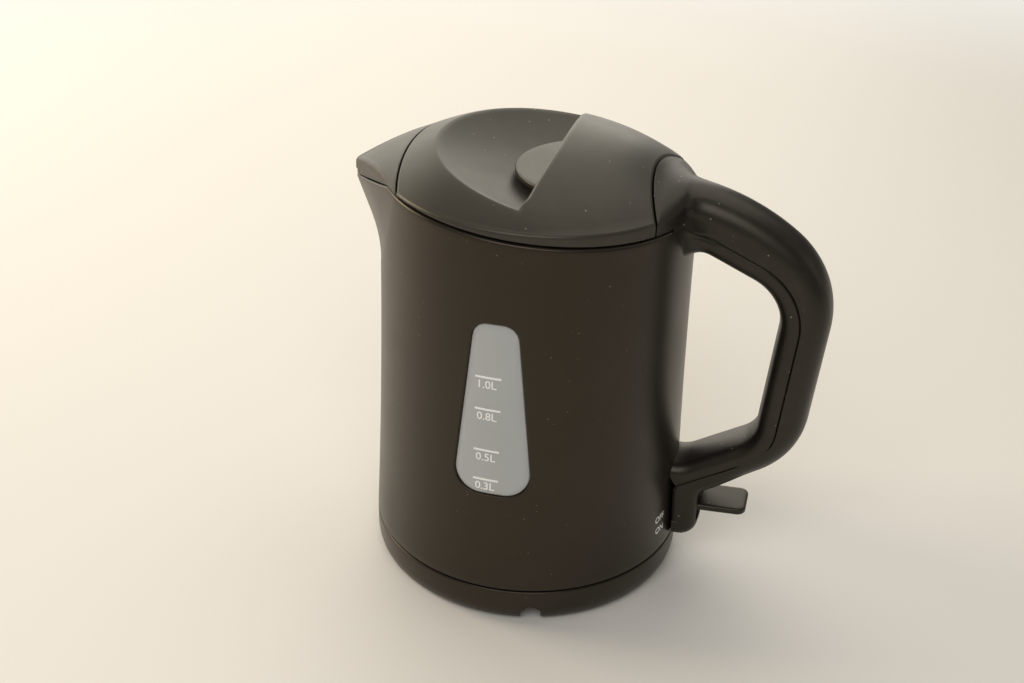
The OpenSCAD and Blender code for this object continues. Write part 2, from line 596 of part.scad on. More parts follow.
module lid_seal() color(c_rubber) intersection() {
    slab(-7.4, -5.2);
    tube(neck_r-0.3, plug_r, rim_z-30, rim_z+10);
}
module lid_screws() color(c_steel) in_lid() for (p = lid_posts)
    translate([p[0], p[1], -4.7]) screw(2.6, 1.3, 8);
cam_z = 0.2;
module release_tab() color(c_black) union() {
    intersection() {
        translate([bowl_x-tab_out+tab_r, 0, tab_h-2.6]) cylinder(r = tab_r, h = 2.6);
        translate([bowl_x-46, -60, tab_h-10]) cube([58, 120, 20]);
    }
    translate([bowl_x+5, -9, rim_z+0.6]) cube([4, 18, tab_h-1.6-rim_z]);
    difference() {
        intersection() {
            slab(cam_z, cam_z+1.8);
            translate([bowl_x+4.5, -37, rim_z-20]) cube([17, 74, 40]);
        }
        for (s = [-1, 1]) translate([0, 0, rim_z-20]) linear_extrude(50)
            polygon([[pivot_latch+1.8, s*36], [pivot_latch+1.8, s*31.6], [pivot_latch-tab_travel-0.4, s*27.2],
                [pivot_latch-tab_travel-2.4, s*27.2], [pivot_latch-tab_travel-2.4, s*30.6],
                [pivot_latch-1.6, s*36]]);
    }
    translate([bowl_x+19, -5, rim_z-1]) cube([2.4, 10, 8]);
}
module tab_spring() color(c_steel) translate([bowl_x+21.4, 0, rim_z+3]) rotate([0, 90, 0])
    rotate_extrude($fn = 32) polygon(concat([for (k = [0:17]) [2.2 + (k%2 == 0 ? 0 : 0.8), 13.6*k/17]],
        [for (k = [17:-1:0]) [1.5 + (k%2 == 0 ? 0 : 0.8), 13.6*k/17]]));
module latch(s) color(c_dark) union() {
    intersection() {
        slab(-2.3, -0.2);
        disc(neck_r+1, rim_z-20, rim_z+20);
        translate([pivot_latch-4.5, s > 0 ? 30 : -80, rim_z-20]) cube([9, 50, 40]);
    }
    intersection() {
        slab(-1, 1.8);
        translate([pivot_latch, s*33, rim_z-20]) cylinder(r = 1.3, h = 40, $fn = 24);
    }
}
module latch_near() latch(-1);
module latch_far() latch(1);

base_cover();
base_plate();
foot_ring();
base_screws();
connector_post();
contact_inner();
contact_outer();
earth_clip();
body_shell();
window_lens();
window_gasket();
spout_cover();
handle_inner();
handle_cover();
handle_screws();
heating_plate();
plate_seal();
heat_spreader();
heater_ring();
control_unit();
control_screws();
bimetal_discs();
socket_pin();
socket_ring_inner();
socket_ring_outer();
bottom_cover();
bottom_screws();
steam_switch();
steam_disc();
lever_pin();
switch_lever();
lid_top();
lid_inner();
lid_seal();
lid_screws();
release_tab();
tab_spring();
latch_near();
latch_far();
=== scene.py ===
"""Electric kettle on a round power base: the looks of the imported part."""
import json
import math

import bpy
import numpy as np
from bpy.props import FloatProperty, FloatVectorProperty, PointerProperty
from mathutils import Matrix


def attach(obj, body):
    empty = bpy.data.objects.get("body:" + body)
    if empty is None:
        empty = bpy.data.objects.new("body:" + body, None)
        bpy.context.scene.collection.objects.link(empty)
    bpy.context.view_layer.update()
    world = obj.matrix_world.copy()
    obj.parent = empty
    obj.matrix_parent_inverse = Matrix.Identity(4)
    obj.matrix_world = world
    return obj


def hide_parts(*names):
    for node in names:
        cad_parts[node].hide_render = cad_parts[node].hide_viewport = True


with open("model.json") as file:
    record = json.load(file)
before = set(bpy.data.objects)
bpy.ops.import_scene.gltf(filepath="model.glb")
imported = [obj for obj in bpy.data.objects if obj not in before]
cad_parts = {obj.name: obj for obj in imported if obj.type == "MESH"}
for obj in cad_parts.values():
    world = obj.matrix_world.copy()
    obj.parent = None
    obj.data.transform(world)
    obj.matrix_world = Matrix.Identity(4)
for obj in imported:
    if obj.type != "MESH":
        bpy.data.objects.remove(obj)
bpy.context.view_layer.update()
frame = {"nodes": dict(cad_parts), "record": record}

bl_info = {
    "name": "Electric kettle",
    "version": (1, 0, 0),
    "blender": (4, 5, 0),
    "location": "3D View > Sidebar > Kettle",
    "description": "Builds the mouldings, window and stage of an electric kettle on its power base",
    "category": "Add Mesh",
}

MM = 0.001

# Lengths are in millimetres and angles in degrees, up to the stage.
# plan radii: bowed wall of the bowl, front edge of the saddle, seam between lid and spout cover
BOW_R, SADDLE_R, SEAM_R = 290.0, 99.5, 157.0
# gap round the lid, rounding of its edge, middle of its grid along X
LID_GAP, LID_ROUND, LID_MID = 0.6, 1.2, -14.0
# slot for the tab in the bowl's wall: half width, lower and upper edge, depth
SLOT_W, SLOT_Z0, SLOT_Z1, SLOT_IN = 32.5, 188.2, 192.4, 11.0
# lid ledge: inner radius, upper and lower face under the rim, radius at which its tilt is taken
NECK_R, LEDGE_TOP, LEDGE_LOW, LEDGE_MEAN = 49.5, 5.1, 7.5, 60
# rounding of the body's foot and rim, and the heights of the patch round the window
FOOT_ROUND, RIM_ROUND, PATCH_Z0, PATCH_Z1 = 0.8, 1.2, 62, 153
# extra turn of the spout's shoulders, and the angle in radians at which all of it is there
SHOULDER_TURN, SHOULDER_FULL = 4.2, 0.5
# cone of the spout cover: apex along X and Z, and the weights in its equation
CONE_X, CONE_Z, CONE_XX, CONE_YY, CONE_K = 256.9, 347.9, 0.381, 1.4058, 0.7868
# window: half widths below and above, lower and upper edge, corner radii, depth of its seat
WIN_W0, WIN_W1, WIN_Z0, WIN_Z1 = 17.8, 9.3, 66.2, 147.4
WIN_ROUND, WIN_SEAT = np.array([11, 11, 7, 7]), 1.6
# litre marks: words, height of the line, foot of the words
GAUGE = (("1.0L", 122.8, 117.8), ("0.8L", 107.7, 102.7), ("0.5L", 87.9, 82.9), ("0.3L", 73.5, 68.6))
# release tab: front radius, reach in front of the bowl's wall, top, thickness, upper and lower edge
TAB_R, TAB_OUT, TAB_Z, TAB_T, TAB_E0, TAB_E1 = 33.0, 21, 191.6, 2.6, 0.9, 0.5
# switch lever: pivot along X and Z, slope, reach, half width, corner radius, top, underside, edge
LEVER_X, LEVER_Z, LEVER_TILT = 76.6, 33.6, 3
LEVER_L, LEVER_W, LEVER_R, LEVER_TOP, LEVER_LOW, LEVER_E = 27.9, 9.4, 4.0, 2.8, -0.2, 0.9
# cord notch: radius, height of its middle, direction seen from above
NOTCH_R, NOTCH_Z, NOTCH_TURN = 4.8, 4.2, -74

# outer line of the handle: normal angles of grip, knee, root and lower arm, radii of its three bends
LEAN, KNEE, ROOT, LOW = 4.4, 53.5, 80.0, -58.5
ARM_R, KNEE_OUT_R, HEEL_R = 100, 45.7, 37.8
# upper end of the straight grip along X and Z, and its length
GRIP_TOP, GRIP_L = np.array([129.2, 132.8]), 45
# finger gap: normal angles of its upper and lower side, distance of the upper side, corner radii
G_TOP, G_LOW, G_TOP_D, GAP_R, KNEE_R = 66.0, -59.0, 178.54, 13.0, 22.0
# thickness of the inner half, of the whole grip, and how much thicker the lower arm is
INNER_T, GRIP_T, LOW_MORE = 9.0, 21.4, 2.6
# along X: where both halves change from saddle to arm, where their seam starts to drop, and its run
ARM_X, SEAM_X0, SEAM_RUN = 69.4, 61.8, 8.0
# switch housing: outer face, hollow corner above it, middle and radius of its lower round, half width
HOUSE_X, HOUSE_HOLLOW, HOUSE_Z, HOUSE_R, HOUSE_W = 83.6, 6.0, 27.6, 9.0, 12.5
# slot for the lever in the housing: upper and lower edge, share of the corner it reaches, depth
LEVER_SLOT_Z1, LEVER_SLOT_Z0, LEVER_SLOT_T, LEVER_SLOT_IN = 39.6, 28.2, 0.30, 6.0

# stage, in metres: background colour, radii between which the floor fades into it
BACKGROUND, FADE = (0.93, 0.91, 0.86, 1), (0.7, 1.5)
# lamps: name, place, aim, size, watts, colour
LAMPS = (
    ("overhead", (0.15, 0.7, 1.6), (0, 0, 0.15), (1.7, 1.5), 10.0, (1, 0.96, 0.88)),
    ("back", (-0.9, 1.7, 0.85), (0, 0, 0.2), (2.6, 1.6), 26.0, (1, 0.95, 0.84)),
    ("front", (0.05, -1.3, 1.35), (0, 0, 0.12), (1.6, 1.0), 15.0, (1, 0.98, 0.95)),
    ("left", (-1.6, 0.1, 0.75), (0, 0, 0.12), (0.75, 0.75), 17.0, (1, 0.86, 0.66)),
    ("right", (1.5, 0.3, 0.7), (0, 0, 0.12), (0.7, 1.0), 0.8, (1, 0.95, 0.86)),
)
# camera: place, sideways turn, dip, roll and turn about Z, focal length in picture widths
CAMERA_AT, CAMERA_TURNS, CAMERA_F = (0.1206, -0.5193, 0.4015), (-1.05, 29.21, -1.76, 13.07), 1341.4 / 1024


def number(name, text, value):
    """A size that the panel shows."""
    return FloatProperty(name=name, description=text, default=value)


def paint(name, text, *rgb):
    """A colour that the panel shows."""
    return FloatVectorProperty(name=name, description=text, subtype="COLOR", size=4, default=rgb + (1.0,))


class KettleSizes(bpy.types.PropertyGroup):
    """Sizes of the mouldings, in millimetres."""
    body_r: number("Body radius", "Outer radius at the rim", 68.0)
    flare: number("Flare", "Extra radius at the foot", 4.0)
    body_z: number("Body foot", "Height of the lower edge", 18.0)
    rim_z: number("Rim", "Rim height on the axis", 183.8)
    tilt: number("Rim tilt", "Slope of the rim in degrees", 4.4)
    wall: number("Wall", "Body wall", 2.6)
    lid_r: number("Lid radius", "Radius of the lid's edge", 67.2)
    dome_r: number("Dome radius", "Radius of the lid's dome", 120.0)
    dome_x: number("Dome offset", "Dome centre along X", -3.0)
    dome_top: number("Dome top", "Height of the dome", 208.0)
    bowl_r: number("Bowl radius", "Edge radius of the finger bowl", 57.6)
    bowl_h: number("Bowl depth", "Depth of the finger bowl", 10.0)
    bowl_lean: number("Bowl lean", "Lean of the bowl in degrees", 9.0)
    bowl_x: number("Bowl wall", "Bowed wall of the bowl along X", 11.0)
    spout_x: number("Spout reach", "Spout tip from the axis", 83.0)
    spout_tip_r: number("Spout tip", "Tip radius in plan", 5.0)
    spout_tip_z: number("Spout lip", "Height of the lip", 176.0)
    spout_lean: number("Spout lean", "Lean of the front edge in degrees", 21.0)
    seam_x: number("Spout seam", "Lid and spout cover seam", 55.5)
    saddle_x: number("Saddle", "Front edge of the handle saddle", 49.8)
    shoulder_x: number("Shoulder", "Where the spout edge leaves the rim", 56.0)
    handle_w: number("Handle width", "Half width of the handle", 13.0)
    base_r: number("Base radius", "Radius of the power base", 72.0)


class KettleColours(bpy.types.PropertyGroup):
    """Colours of the finishes."""
    black: paint("Body plastic", "Near-black moulding", 0.0090, 0.0077, 0.0064)
    dust: paint("Dust", "Settled dust", 0.30, 0.27, 0.23)
    window: paint("Window", "Frosted gauge window", 0.44, 0.455, 0.455)
    printed: paint("Print", "White print", 0.93, 0.93, 0.92)
    floor: paint("Floor", "Pale floor", 0.80, 0.775, 0.73)


def sizes():
    return bpy.context.scene.kettle_sizes


def colours():
    return bpy.context.scene.kettle_colours


# grids and meshes

def grid(nu, nv, wrap_u=False, wrap_v=False):
    """Corner indices of the quads of an nu by nv grid of points, closed where asked."""
    i = np.arange(nu if wrap_u else nu - 1)
    j = np.arange(nv if wrap_v else nv - 1)
    i, j = np.meshgrid(i, j, indexing="ij")
    k, m = (i + 1) % nu, (j + 1) % nv
    return np.stack([i * nv + j, k * nv + j, k * nv + m, i * nv + m], -1).reshape(-1, 4)


def shell(rows, wrap_u=False, wrap_v=True):
    """Rows of points as one grid, with its quads."""
    p = np.stack(rows)
    return p, grid(p.shape[0], p.shape[1], wrap_u, wrap_v)


def weld(points, quads, step=0.002):
    """Merges points that share a cell of the given step, and returns points, quads and triangles."""
    key = np.round(points / step).astype(np.int64)
    _, first, back = np.unique(key, axis=0, return_index=True, return_inverse=True)
    q = back.reshape(-1)[quads]
    same = q == np.roll(q, -1, axis=1)
    n = same.sum(1)
    ok = (q[:, 0] != q[:, 2]) & (q[:, 1] != q[:, 3])
    four = q[(n == 0) & ok]
    sel = (n == 1)
    three = q[sel][~same[sel]].reshape(-1, 3)
    return points[first], four, three


def enclosed(p, four, three):
    """Signed volume: the sum of corner triple products over the faces."""
    tri = np.concatenate([four[:, [0, 1, 2]], four[:, [0, 2, 3]], three])
    a, b, c = p[tri[:, 0]], p[tri[:, 1]], p[tri[:, 2]]
    return float(np.einsum("ij,ij->i", a, np.cross(b, c)).sum() / 6)


def joined(name, parts, flip=None):
    """Grids of millimetre points as one mesh, turned outwards by its volume, or as flip says."""
    starts = np.cumsum([0] + [p.size // 3 for p, _ in parts])
    points = np.concatenate([p.reshape(-1, 3) for p, _ in parts])
    quads = np.concatenate([q + n for (_, q), n in zip(parts, starts)])
    p, four, three = weld(points, quads)
    if (enclosed(p, four, three) < 0) if flip is None else flip:
        four, three = four[:, ::-1], three[:, ::-1]
    mesh = bpy.data.meshes.new(name)
    mesh.from_pydata((p * MM).tolist(), [], four.tolist() + three.tolist())
    obj = bpy.data.objects.new(name, mesh)
    bpy.context.scene.collection.objects.link(obj)
    return obj


def put(name, parts, body, nodes, finish, sharp=40.0, flip=None):
    """A visible piece: one smooth mesh with its finish, hung on its body in place of its nodes."""
    obj = joined(name, parts, flip)
    mesh = obj.data
    mesh.update()
    mesh.shade_smooth()
    mesh.set_sharp_from_angle(angle=math.radians(sharp))
    mesh.materials.append(finish_of(finish))
    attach(obj, body)
    if nodes:
        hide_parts(*nodes)
    return obj


def carve(obj, cutter):
    """Cuts one closed mesh out of another and keeps the result as the piece's own mesh."""
    m = obj.modifiers.new("cut", "BOOLEAN")
    m.operation, m.solver, m.object = "DIFFERENCE", "EXACT", cutter
    dg = bpy.context.evaluated_depsgraph_get()
    mesh = bpy.data.meshes.new_from_object(obj.evaluated_get(dg))
    obj.modifiers.remove(m)
    old = obj.data
    obj.data = mesh
    bpy.data.meshes.remove(old)
    bpy.data.objects.remove(cutter)
    mesh.set_sharp_from_angle(angle=math.radians(40))


def ease(t):
    """Smooth step from 0 to 1."""
    t = np.clip(t, 0.0, 1.0)
    return t * t * (3 - 2 * t)


def ray(t):
    """Unit vector at an angle in radians."""
    return np.stack([np.cos(t), np.sin(t)], -1)


def unit(a):
    """Unit vector at an angle in degrees."""
    return ray(np.radians(a))


def quarter(n, first=0):
    """Sine and cosine at n even steps of a quarter turn, from step first on."""
    t = np.radians(np.linspace(0, 90, n + 1)[first:])
    return list(zip(np.sin(t), np.cos(t)))


def lift(plan, z):
    """Plan points raised to height z, one number or one for each point."""
    return np.column_stack([plan, np.broadcast_to(z, len(plan))])


def polar(theta, r, z):
    """Points at angles theta, radius r and height z."""
    return np.stack([r * np.cos(theta), r * np.sin(theta), np.broadcast_to(z, np.shape(r * theta))], -1)


def normals2(p):
    """Outward normals of a closed plan outline that runs anticlockwise."""
    t = np.roll(p, -1, 0) - np.roll(p, 1, 0)
    t /= np.maximum(np.linalg.norm(t, axis=1, keepdims=True), 1e-9)
    return np.stack([t[:, 1], -t[:, 0]], -1)


def plate(outline, middle, shares, top, bottom, upper, lower):
    """Rings of a plate seen from above: a flat top that grows from its middle by shares, an upper and a lower
    edge rounded by their radii, and a flat underside."""
    n = normals2(outline)
    rows = [lift(middle + (outline - n * upper - middle) * f, top) for f in shares]
    rows += [lift(outline - n * upper * (1 - sn), top - upper * (1 - cs)) for sn, cs in quarter(4)]
    rows += [lift(outline - n * lower * (1 - cs), bottom + lower * (1 - sn)) for sn, cs in quarter(3)]
    rows.append(lift(np.repeat(middle[None], len(outline), 0), bottom))
    return shell(rows)


# shapes shared by several pieces

def body_radius(z):
    """Rim radius plus the flare times the squared share of the way down."""
    s = sizes()
    return s.body_r + s.flare * (np.maximum(0, s.rim_z - z) / (s.rim_z - s.body_z)) ** 2


def beak_radius(theta, rb, front, rt):
    """Radius at angle theta of a circle rb with a flat-sided beak: two lines from the circle's shoulders touch
    a tip circle rt whose front is at -front. The shoulders lie a little behind the touching points and leave
    soft edges."""
    phi = np.abs(np.pi - np.mod(theta, 2 * np.pi))
    c = np.maximum(front - rt, rb - rt + 1e-6)
    a = np.arccos(np.clip((rb - rt) / c, -1, 1))
    e = a + np.radians(SHOULDER_TURN) * ease(a / SHOULDER_FULL)
    u, v = rb * np.cos(e) - c, rb * np.sin(e)
    m = np.maximum(np.hypot(u, v), 1e-6)
    psi = np.arctan2(v, u) - np.arccos(np.clip(rt / m, -1, 1))
    tip = np.arctan2(rt * np.sin(psi), c + rt * np.cos(psi))
    line = (c * np.cos(psi) + rt) / np.maximum(np.cos(phi - psi), 0.05)
    bow = c * np.cos(phi) + np.sqrt(np.maximum(0, rt ** 2 - (c * np.sin(phi)) ** 2))
    return np.where(phi >= e, rb, np.where(phi >= tip, line, bow))


def body_outline(theta, z):
    """Body radius with the spout growing out of it as its front edge leans forward."""
    s = sizes()
    front = s.spout_x - (s.spout_tip_z - z) * math.tan(math.radians(s.spout_lean))
    return beak_radius(theta, body_radius(z), front, s.spout_tip_r)


def rim_plane(x):
    """Height of the tilted rim plane."""
    s = sizes()
    return s.rim_z - math.tan(math.radians(s.tilt)) * x


def rim_height(x):
    """The rim plane, or the steeper plane of the spout's top edge where that is lower."""
    s = sizes()
    top = rim_plane(-s.shoulder_x) - 0.5
    slope = (top - s.spout_tip_z) / (s.spout_x - s.shoulder_x)
    return np.minimum(rim_plane(x), top + slope * (x + s.shoulder_x))


def spout_top(x, y):
    """Height of the spout cover's top, the leaning cone that touches the dome along the seam."""
    vx = x - CONE_X
    return CONE_Z + (vx + np.sqrt(np.maximum(0, CONE_XX * vx ** 2 - CONE_YY * y ** 2))) / CONE_K


def dome(x, y):
    """Height of the lid's dome, a sphere."""
    s = sizes()
    return s.dome_top - s.dome_r + np.sqrt(np.maximum(1, s.dome_r ** 2 - (x - s.dome_x) ** 2 - y ** 2))


def bowl(x, y):
    """Height of the finger bowl, the underside of a sphere that meets the dome in a leaning circle."""
    s = sizes()
    r = (s.bowl_r ** 2 + s.bowl_h ** 2) / (2 * s.bowl_h)
    d = math.sqrt(s.dome_r ** 2 - s.bowl_r ** 2) + r - s.bowl_h
    a = math.radians(s.bowl_lean)
    cx, cz = s.dome_x + d * math.sin(a), s.dome_top - s.dome_r + d * math.cos(a)
    return cz - np.sqrt(np.maximum(1, r ** 2 - (x - cx) ** 2 - y ** 2))


def trapezoid(grow, n):
    """Window outline: a trapezoid with round corners, as four runs of n points between its corners' middles."""
    w0, w1, z0, z1 = WIN_W0 + grow, WIN_W1 + grow, WIN_Z0 - grow, WIN_Z1 + grow
    pts = np.array([[-w0, z0], [w0, z0], [w1, z1], [-w1, z1]])
    rad = WIN_ROUND + grow
    arc = 41
    line = []
    for i in range(4):
        p, a, b = pts[i], pts[i - 1], pts[(i + 1) % 4]
        u, v = (a - p) / np.linalg.norm(a - p), (b - p) / np.linalg.norm(b - p)
        h = math.acos(float(u @ v)) / 2
        c = p + (u + v) / np.linalg.norm(u + v) * rad[i] / math.sin(h)
        s, e = p + u * rad[i] / math.tan(h) - c, p + v * rad[i] / math.tan(h) - c
        a0 = math.atan2(s[1], s[0])
        da = (math.atan2(e[1], e[0]) - a0 + math.pi) % (2 * math.pi) - math.pi
        t = a0 + da * np.linspace(0, 1, arc)
        line.append(c + rad[i] * ray(t))
    line = np.concatenate(line)
    line = np.concatenate([line, line, line[:1]])
    run = np.concatenate([[0], np.cumsum(np.linalg.norm(np.diff(line, axis=0), axis=1))])
    marks = run[arc * np.arange(5) + arc // 2]
    out = []
    for i in range(4):
        d = np.linspace(marks[i], marks[i + 1], n[i] + 1)[:-1]
        out.append(np.stack([np.interp(d, run, line[:, 0]), np.interp(d, run, line[:, 1])], -1))
    return np.concatenate(out)


def spine(outline, low, high):
    """The window's middle line at the heights of its outline, kept between low and high."""
    return np.column_stack([np.zeros(len(outline)), np.clip(outline[:, 1], low, high)])


def on_body(plan, depth):
    """Points (x, z) of the window's plan carried onto the body's front, sunk by depth."""
    x, z = plan[..., 0], plan[..., 1]
    r = body_radius(z)
    a = np.arcsin(x / r)
    return np.stack([(r - depth) * np.sin(a), -(r - depth) * np.cos(a), z], -1)


# finishes

def feed(tree, node, inputs):
    """Sets the inputs of a node, and links those that are given as sockets."""
    for k, v in inputs.items():
        if isinstance(v, bpy.types.NodeSocket):
            tree.links.new(v, node.inputs[k])
        else:
            node.inputs[k].default_value = v


def add(tree, kind, inputs=None, **values):
    """A node with some of its properties set and its inputs fed."""
    n = tree.nodes.new(kind)
    for k, v in values.items():
        setattr(n, k, v)
    feed(tree, n, inputs or {})
    return n


def noise(tree, vector, scale, detail, rough=0.5):
    return add(tree, "ShaderNodeTexNoise", {"Vector": vector, "Scale": scale, "Detail": detail,
                                            "Roughness": rough}).outputs["Fac"]


def remap(tree, value, low=0.0, high=1.0, to_low=0.0, to_high=1.0, **values):
    return add(tree, "ShaderNodeMapRange", {"Value": value, "From Min": low, "From Max": high, "To Min": to_low,
                                            "To Max": to_high}, **values).outputs["Result"]


def blend(tree, factor, a, b):
    return add(tree, "ShaderNodeMix", {"Factor": factor, "A": a, "B": b}, data_type="RGBA").outputs["Result"]


def calc(tree, operation, a, b):
    return add(tree, "ShaderNodeMath", {0: a, 1: b}, operation=operation).outputs[0]


def tone(colour, k):
    """A colour made k times as bright."""
    return tuple(min(1, c * k) for c in colour[:3]) + (1,)


def node_group(name, build, inputs, outputs):
    """A shader node group with a vector and named numbers going in, built once."""
    if name in bpy.data.node_groups:
        return bpy.data.node_groups[name]
    g = bpy.data.node_groups.new(name, "ShaderNodeTree")
    g.interface.new_socket(name="Vector", in_out="INPUT", socket_type="NodeSocketVector")
    for n, value in inputs.items():
        k = g.interface.new_socket(name=n, in_out="INPUT", socket_type="NodeSocketFloat")
        k.default_value = value
    for n in outputs:
        g.interface.new_socket(name=n, in_out="OUTPUT", socket_type="NodeSocketFloat")
    add(g, "NodeGroupOutput", build(g, add(g, "NodeGroupInput").outputs))
    return g


def mould_grain():
    """Fine spark-eroded grain: a fine noise for height, and a slow noise that varies the gloss."""
    def build(g, i):
        slow = noise(g, i["Vector"], 22.0, 4.0, 0.65)
        return {"Height": noise(g, i["Vector"], i["Scale"], 3.0, 0.6),
                "Roughness": remap(g, slow, 0.3, 0.7, i["Gloss Low"], i["Gloss High"])}
    return node_group("mould grain", build, {"Scale": 1500.0, "Gloss Low": 0.4, "Gloss High": 0.5},
                      ("Height", "Roughness"))


def dust_specks():
    """Specks: the cores of some scattered cells, plus a faint film from a slow noise."""
    def build(g, i):
        cell = add(g, "ShaderNodeTexVoronoi", {"Vector": i["Vector"], "Scale": i["Scale"], "Randomness": 1.0},
                   feature="F1")
        pick = add(g, "ShaderNodeSeparateColor", {"Color": cell.outputs["Color"]})
        size = remap(g, pick.outputs["Red"], 0.87, 1.0, 0.0, 0.15)
        near = calc(g, "LESS_THAN", cell.outputs["Distance"], size)
        haze = remap(g, noise(g, i["Vector"], 35.0, 5.0, 0.7), 0.5, 0.85, 0.0, 0.06)
        return {"Mask": calc(g, "MULTIPLY", calc(g, "MAXIMUM", near, haze), i["Amount"])}
    return node_group("dust specks", build, {"Scale": 400.0, "Amount": 0.5}, ("Mask",))


def material(name):
    """A material with its node tree, its main shader and the object's coordinates."""
    m = bpy.data.materials.new(name)
    m.use_nodes = True
    t = m.node_tree
    t.nodes.clear()
    b = add(t, "ShaderNodeBsdfPrincipled")
    add(t, "ShaderNodeOutputMaterial", {"Surface": b.outputs["BSDF"]})
    return m, t, b, add(t, "ShaderNodeTexCoord").outputs["Object"]


def grain_of(t, co, scale, gloss, strength):
    """Roughness and normal from the grain group, at a scale and a range of gloss."""
    g = add(t, "ShaderNodeGroup", {"Vector": co, "Scale": scale, "Gloss Low": gloss[0], "Gloss High": gloss[1]},
            node_tree=mould_grain())
    bump = add(t, "ShaderNodeBump", {"Strength": strength, "Distance": 0.0002, "Height": g.outputs["Height"]})
    return {"Roughness": g.outputs["Roughness"], "Normal": bump.outputs["Normal"]}


def grained(name, colour, gloss, grain, dust, tint=(1, 1, 1, 1), level=0.5, scale=1500.0):
    """Moulded plastic: base colour with dust over it, gloss and bump from the grain group."""
    m, t, b, co = material(name)
    specks = add(t, "ShaderNodeGroup", {"Vector": co, "Amount": dust}, node_tree=dust_specks())
    feed(t, b, {"Base Color": blend(t, specks.outputs["Mask"], colour, tuple(colours().dust)),
                "Specular IOR Level": level, "Specular Tint": tint, **grain_of(t, co, scale, gloss, grain)})
    return m


def metal(name, colour, rough, stretch=(1, 1, 1)):
    """Bare metal: stretched noise streaks its gloss and tone."""
    m, t, b, co = material(name)
    place = add(t, "ShaderNodeMapping", {"Vector": co, "Scale": stretch})
    n = noise(t, place.outputs["Vector"], 120.0, 5.0, 0.7)
    feed(t, b, {"Base Color": blend(t, n, tone(colour, 0.82), colour), "Metallic": 1.0,
                "Roughness": remap(t, n, 0.0, 1.0, *rough)})
    return m


def frosted(name, colour):
    """Frosted clear moulding: a cloudy pale tone, fine grain, and light scattered just under the surface."""
    m, t, b, co = material(name)
    cloud = noise(t, co, 26.0, 3.0)
    feed(t, b, {"Base Color": blend(t, cloud, tone(colour, 0.93), tone(colour, 1.07)),
                "Subsurface Weight": 0.25, "Subsurface Radius": (0.003, 0.003, 0.003),
                "Subsurface Scale": 0.5, **grain_of(t, co, 1900.0, (0.34, 0.44), 0.10)})
    return m


def finish_of(kind):
    """The finishes, each made once. Moulded ones give colour, gloss, grain, dust, tint, level and scale, bare
    ones colour, roughness and stretch."""
    if kind in bpy.data.materials:
        return bpy.data.materials[kind]
    c = colours()
    black, white = tuple(c.black), (1, 1, 1, 1)
    # lid base colour, lighter than the body's black: partly settled dust, partly painted sheen of the overhead
    # light on the lid's top
    lid_dust_and_sheen = tuple(0.014 * f + k for f, k in zip(c.dust, (0.021, 0.019, 0.015))) + (1,)
    moulded = {
        "body_black": (black, (0.31, 0.38), 0.08, 0.25, (1, 0.83, 0.62, 1)),
        # lid: lighter base colour, partly dust and partly painted sheen
        "lid_black": (lid_dust_and_sheen, (0.38, 0.46), 0.12, 0.75, (1, 0.93, 0.77, 1), 0.54),
        "handle_black": (black, (0.35, 0.43), 0.11, 0.8, (1, 0.90, 0.76, 1)),
        "base_black": (black, (0.30, 0.38), 0.08, 0.3, (1, 0.83, 0.62, 1)),
        "dark_plastic": ((0.035, 0.034, 0.033, 1), (0.45, 0.55), 0.15, 0.1),
        "rubber": ((0.045, 0.045, 0.045, 1), (0.7, 0.8), 0.3, 0.2, white, 0.3, 700.0),
        "white_print": (tuple(c.printed), (0.5, 0.6), 0.05, 0.1),
    }
    bare = {
        "steel": ((0.62, 0.61, 0.59, 1), (0.22, 0.42), (1, 12, 1)),
        "brass": ((0.72, 0.53, 0.24, 1), (0.25, 0.45)),
        "cast_aluminium": ((0.55, 0.56, 0.57, 1), (0.45, 0.65)),
    }
    if kind in moulded:
        return grained(kind, *moulded[kind])
    if kind in bare:
        return metal(kind, *bare[kind])
    if kind == "window_frost":
        return frosted(kind, tuple(c.window))
    raise ValueError(kind)


# pieces

def body_theta():
    """Angles round the body, closer together at the spout."""
    a = np.arange(0, 360, 1.25)
    extra = np.arange(162.5, 197.5, 0.3125)
    return np.radians(np.unique(np.round(np.concatenate([a, extra]), 5)))


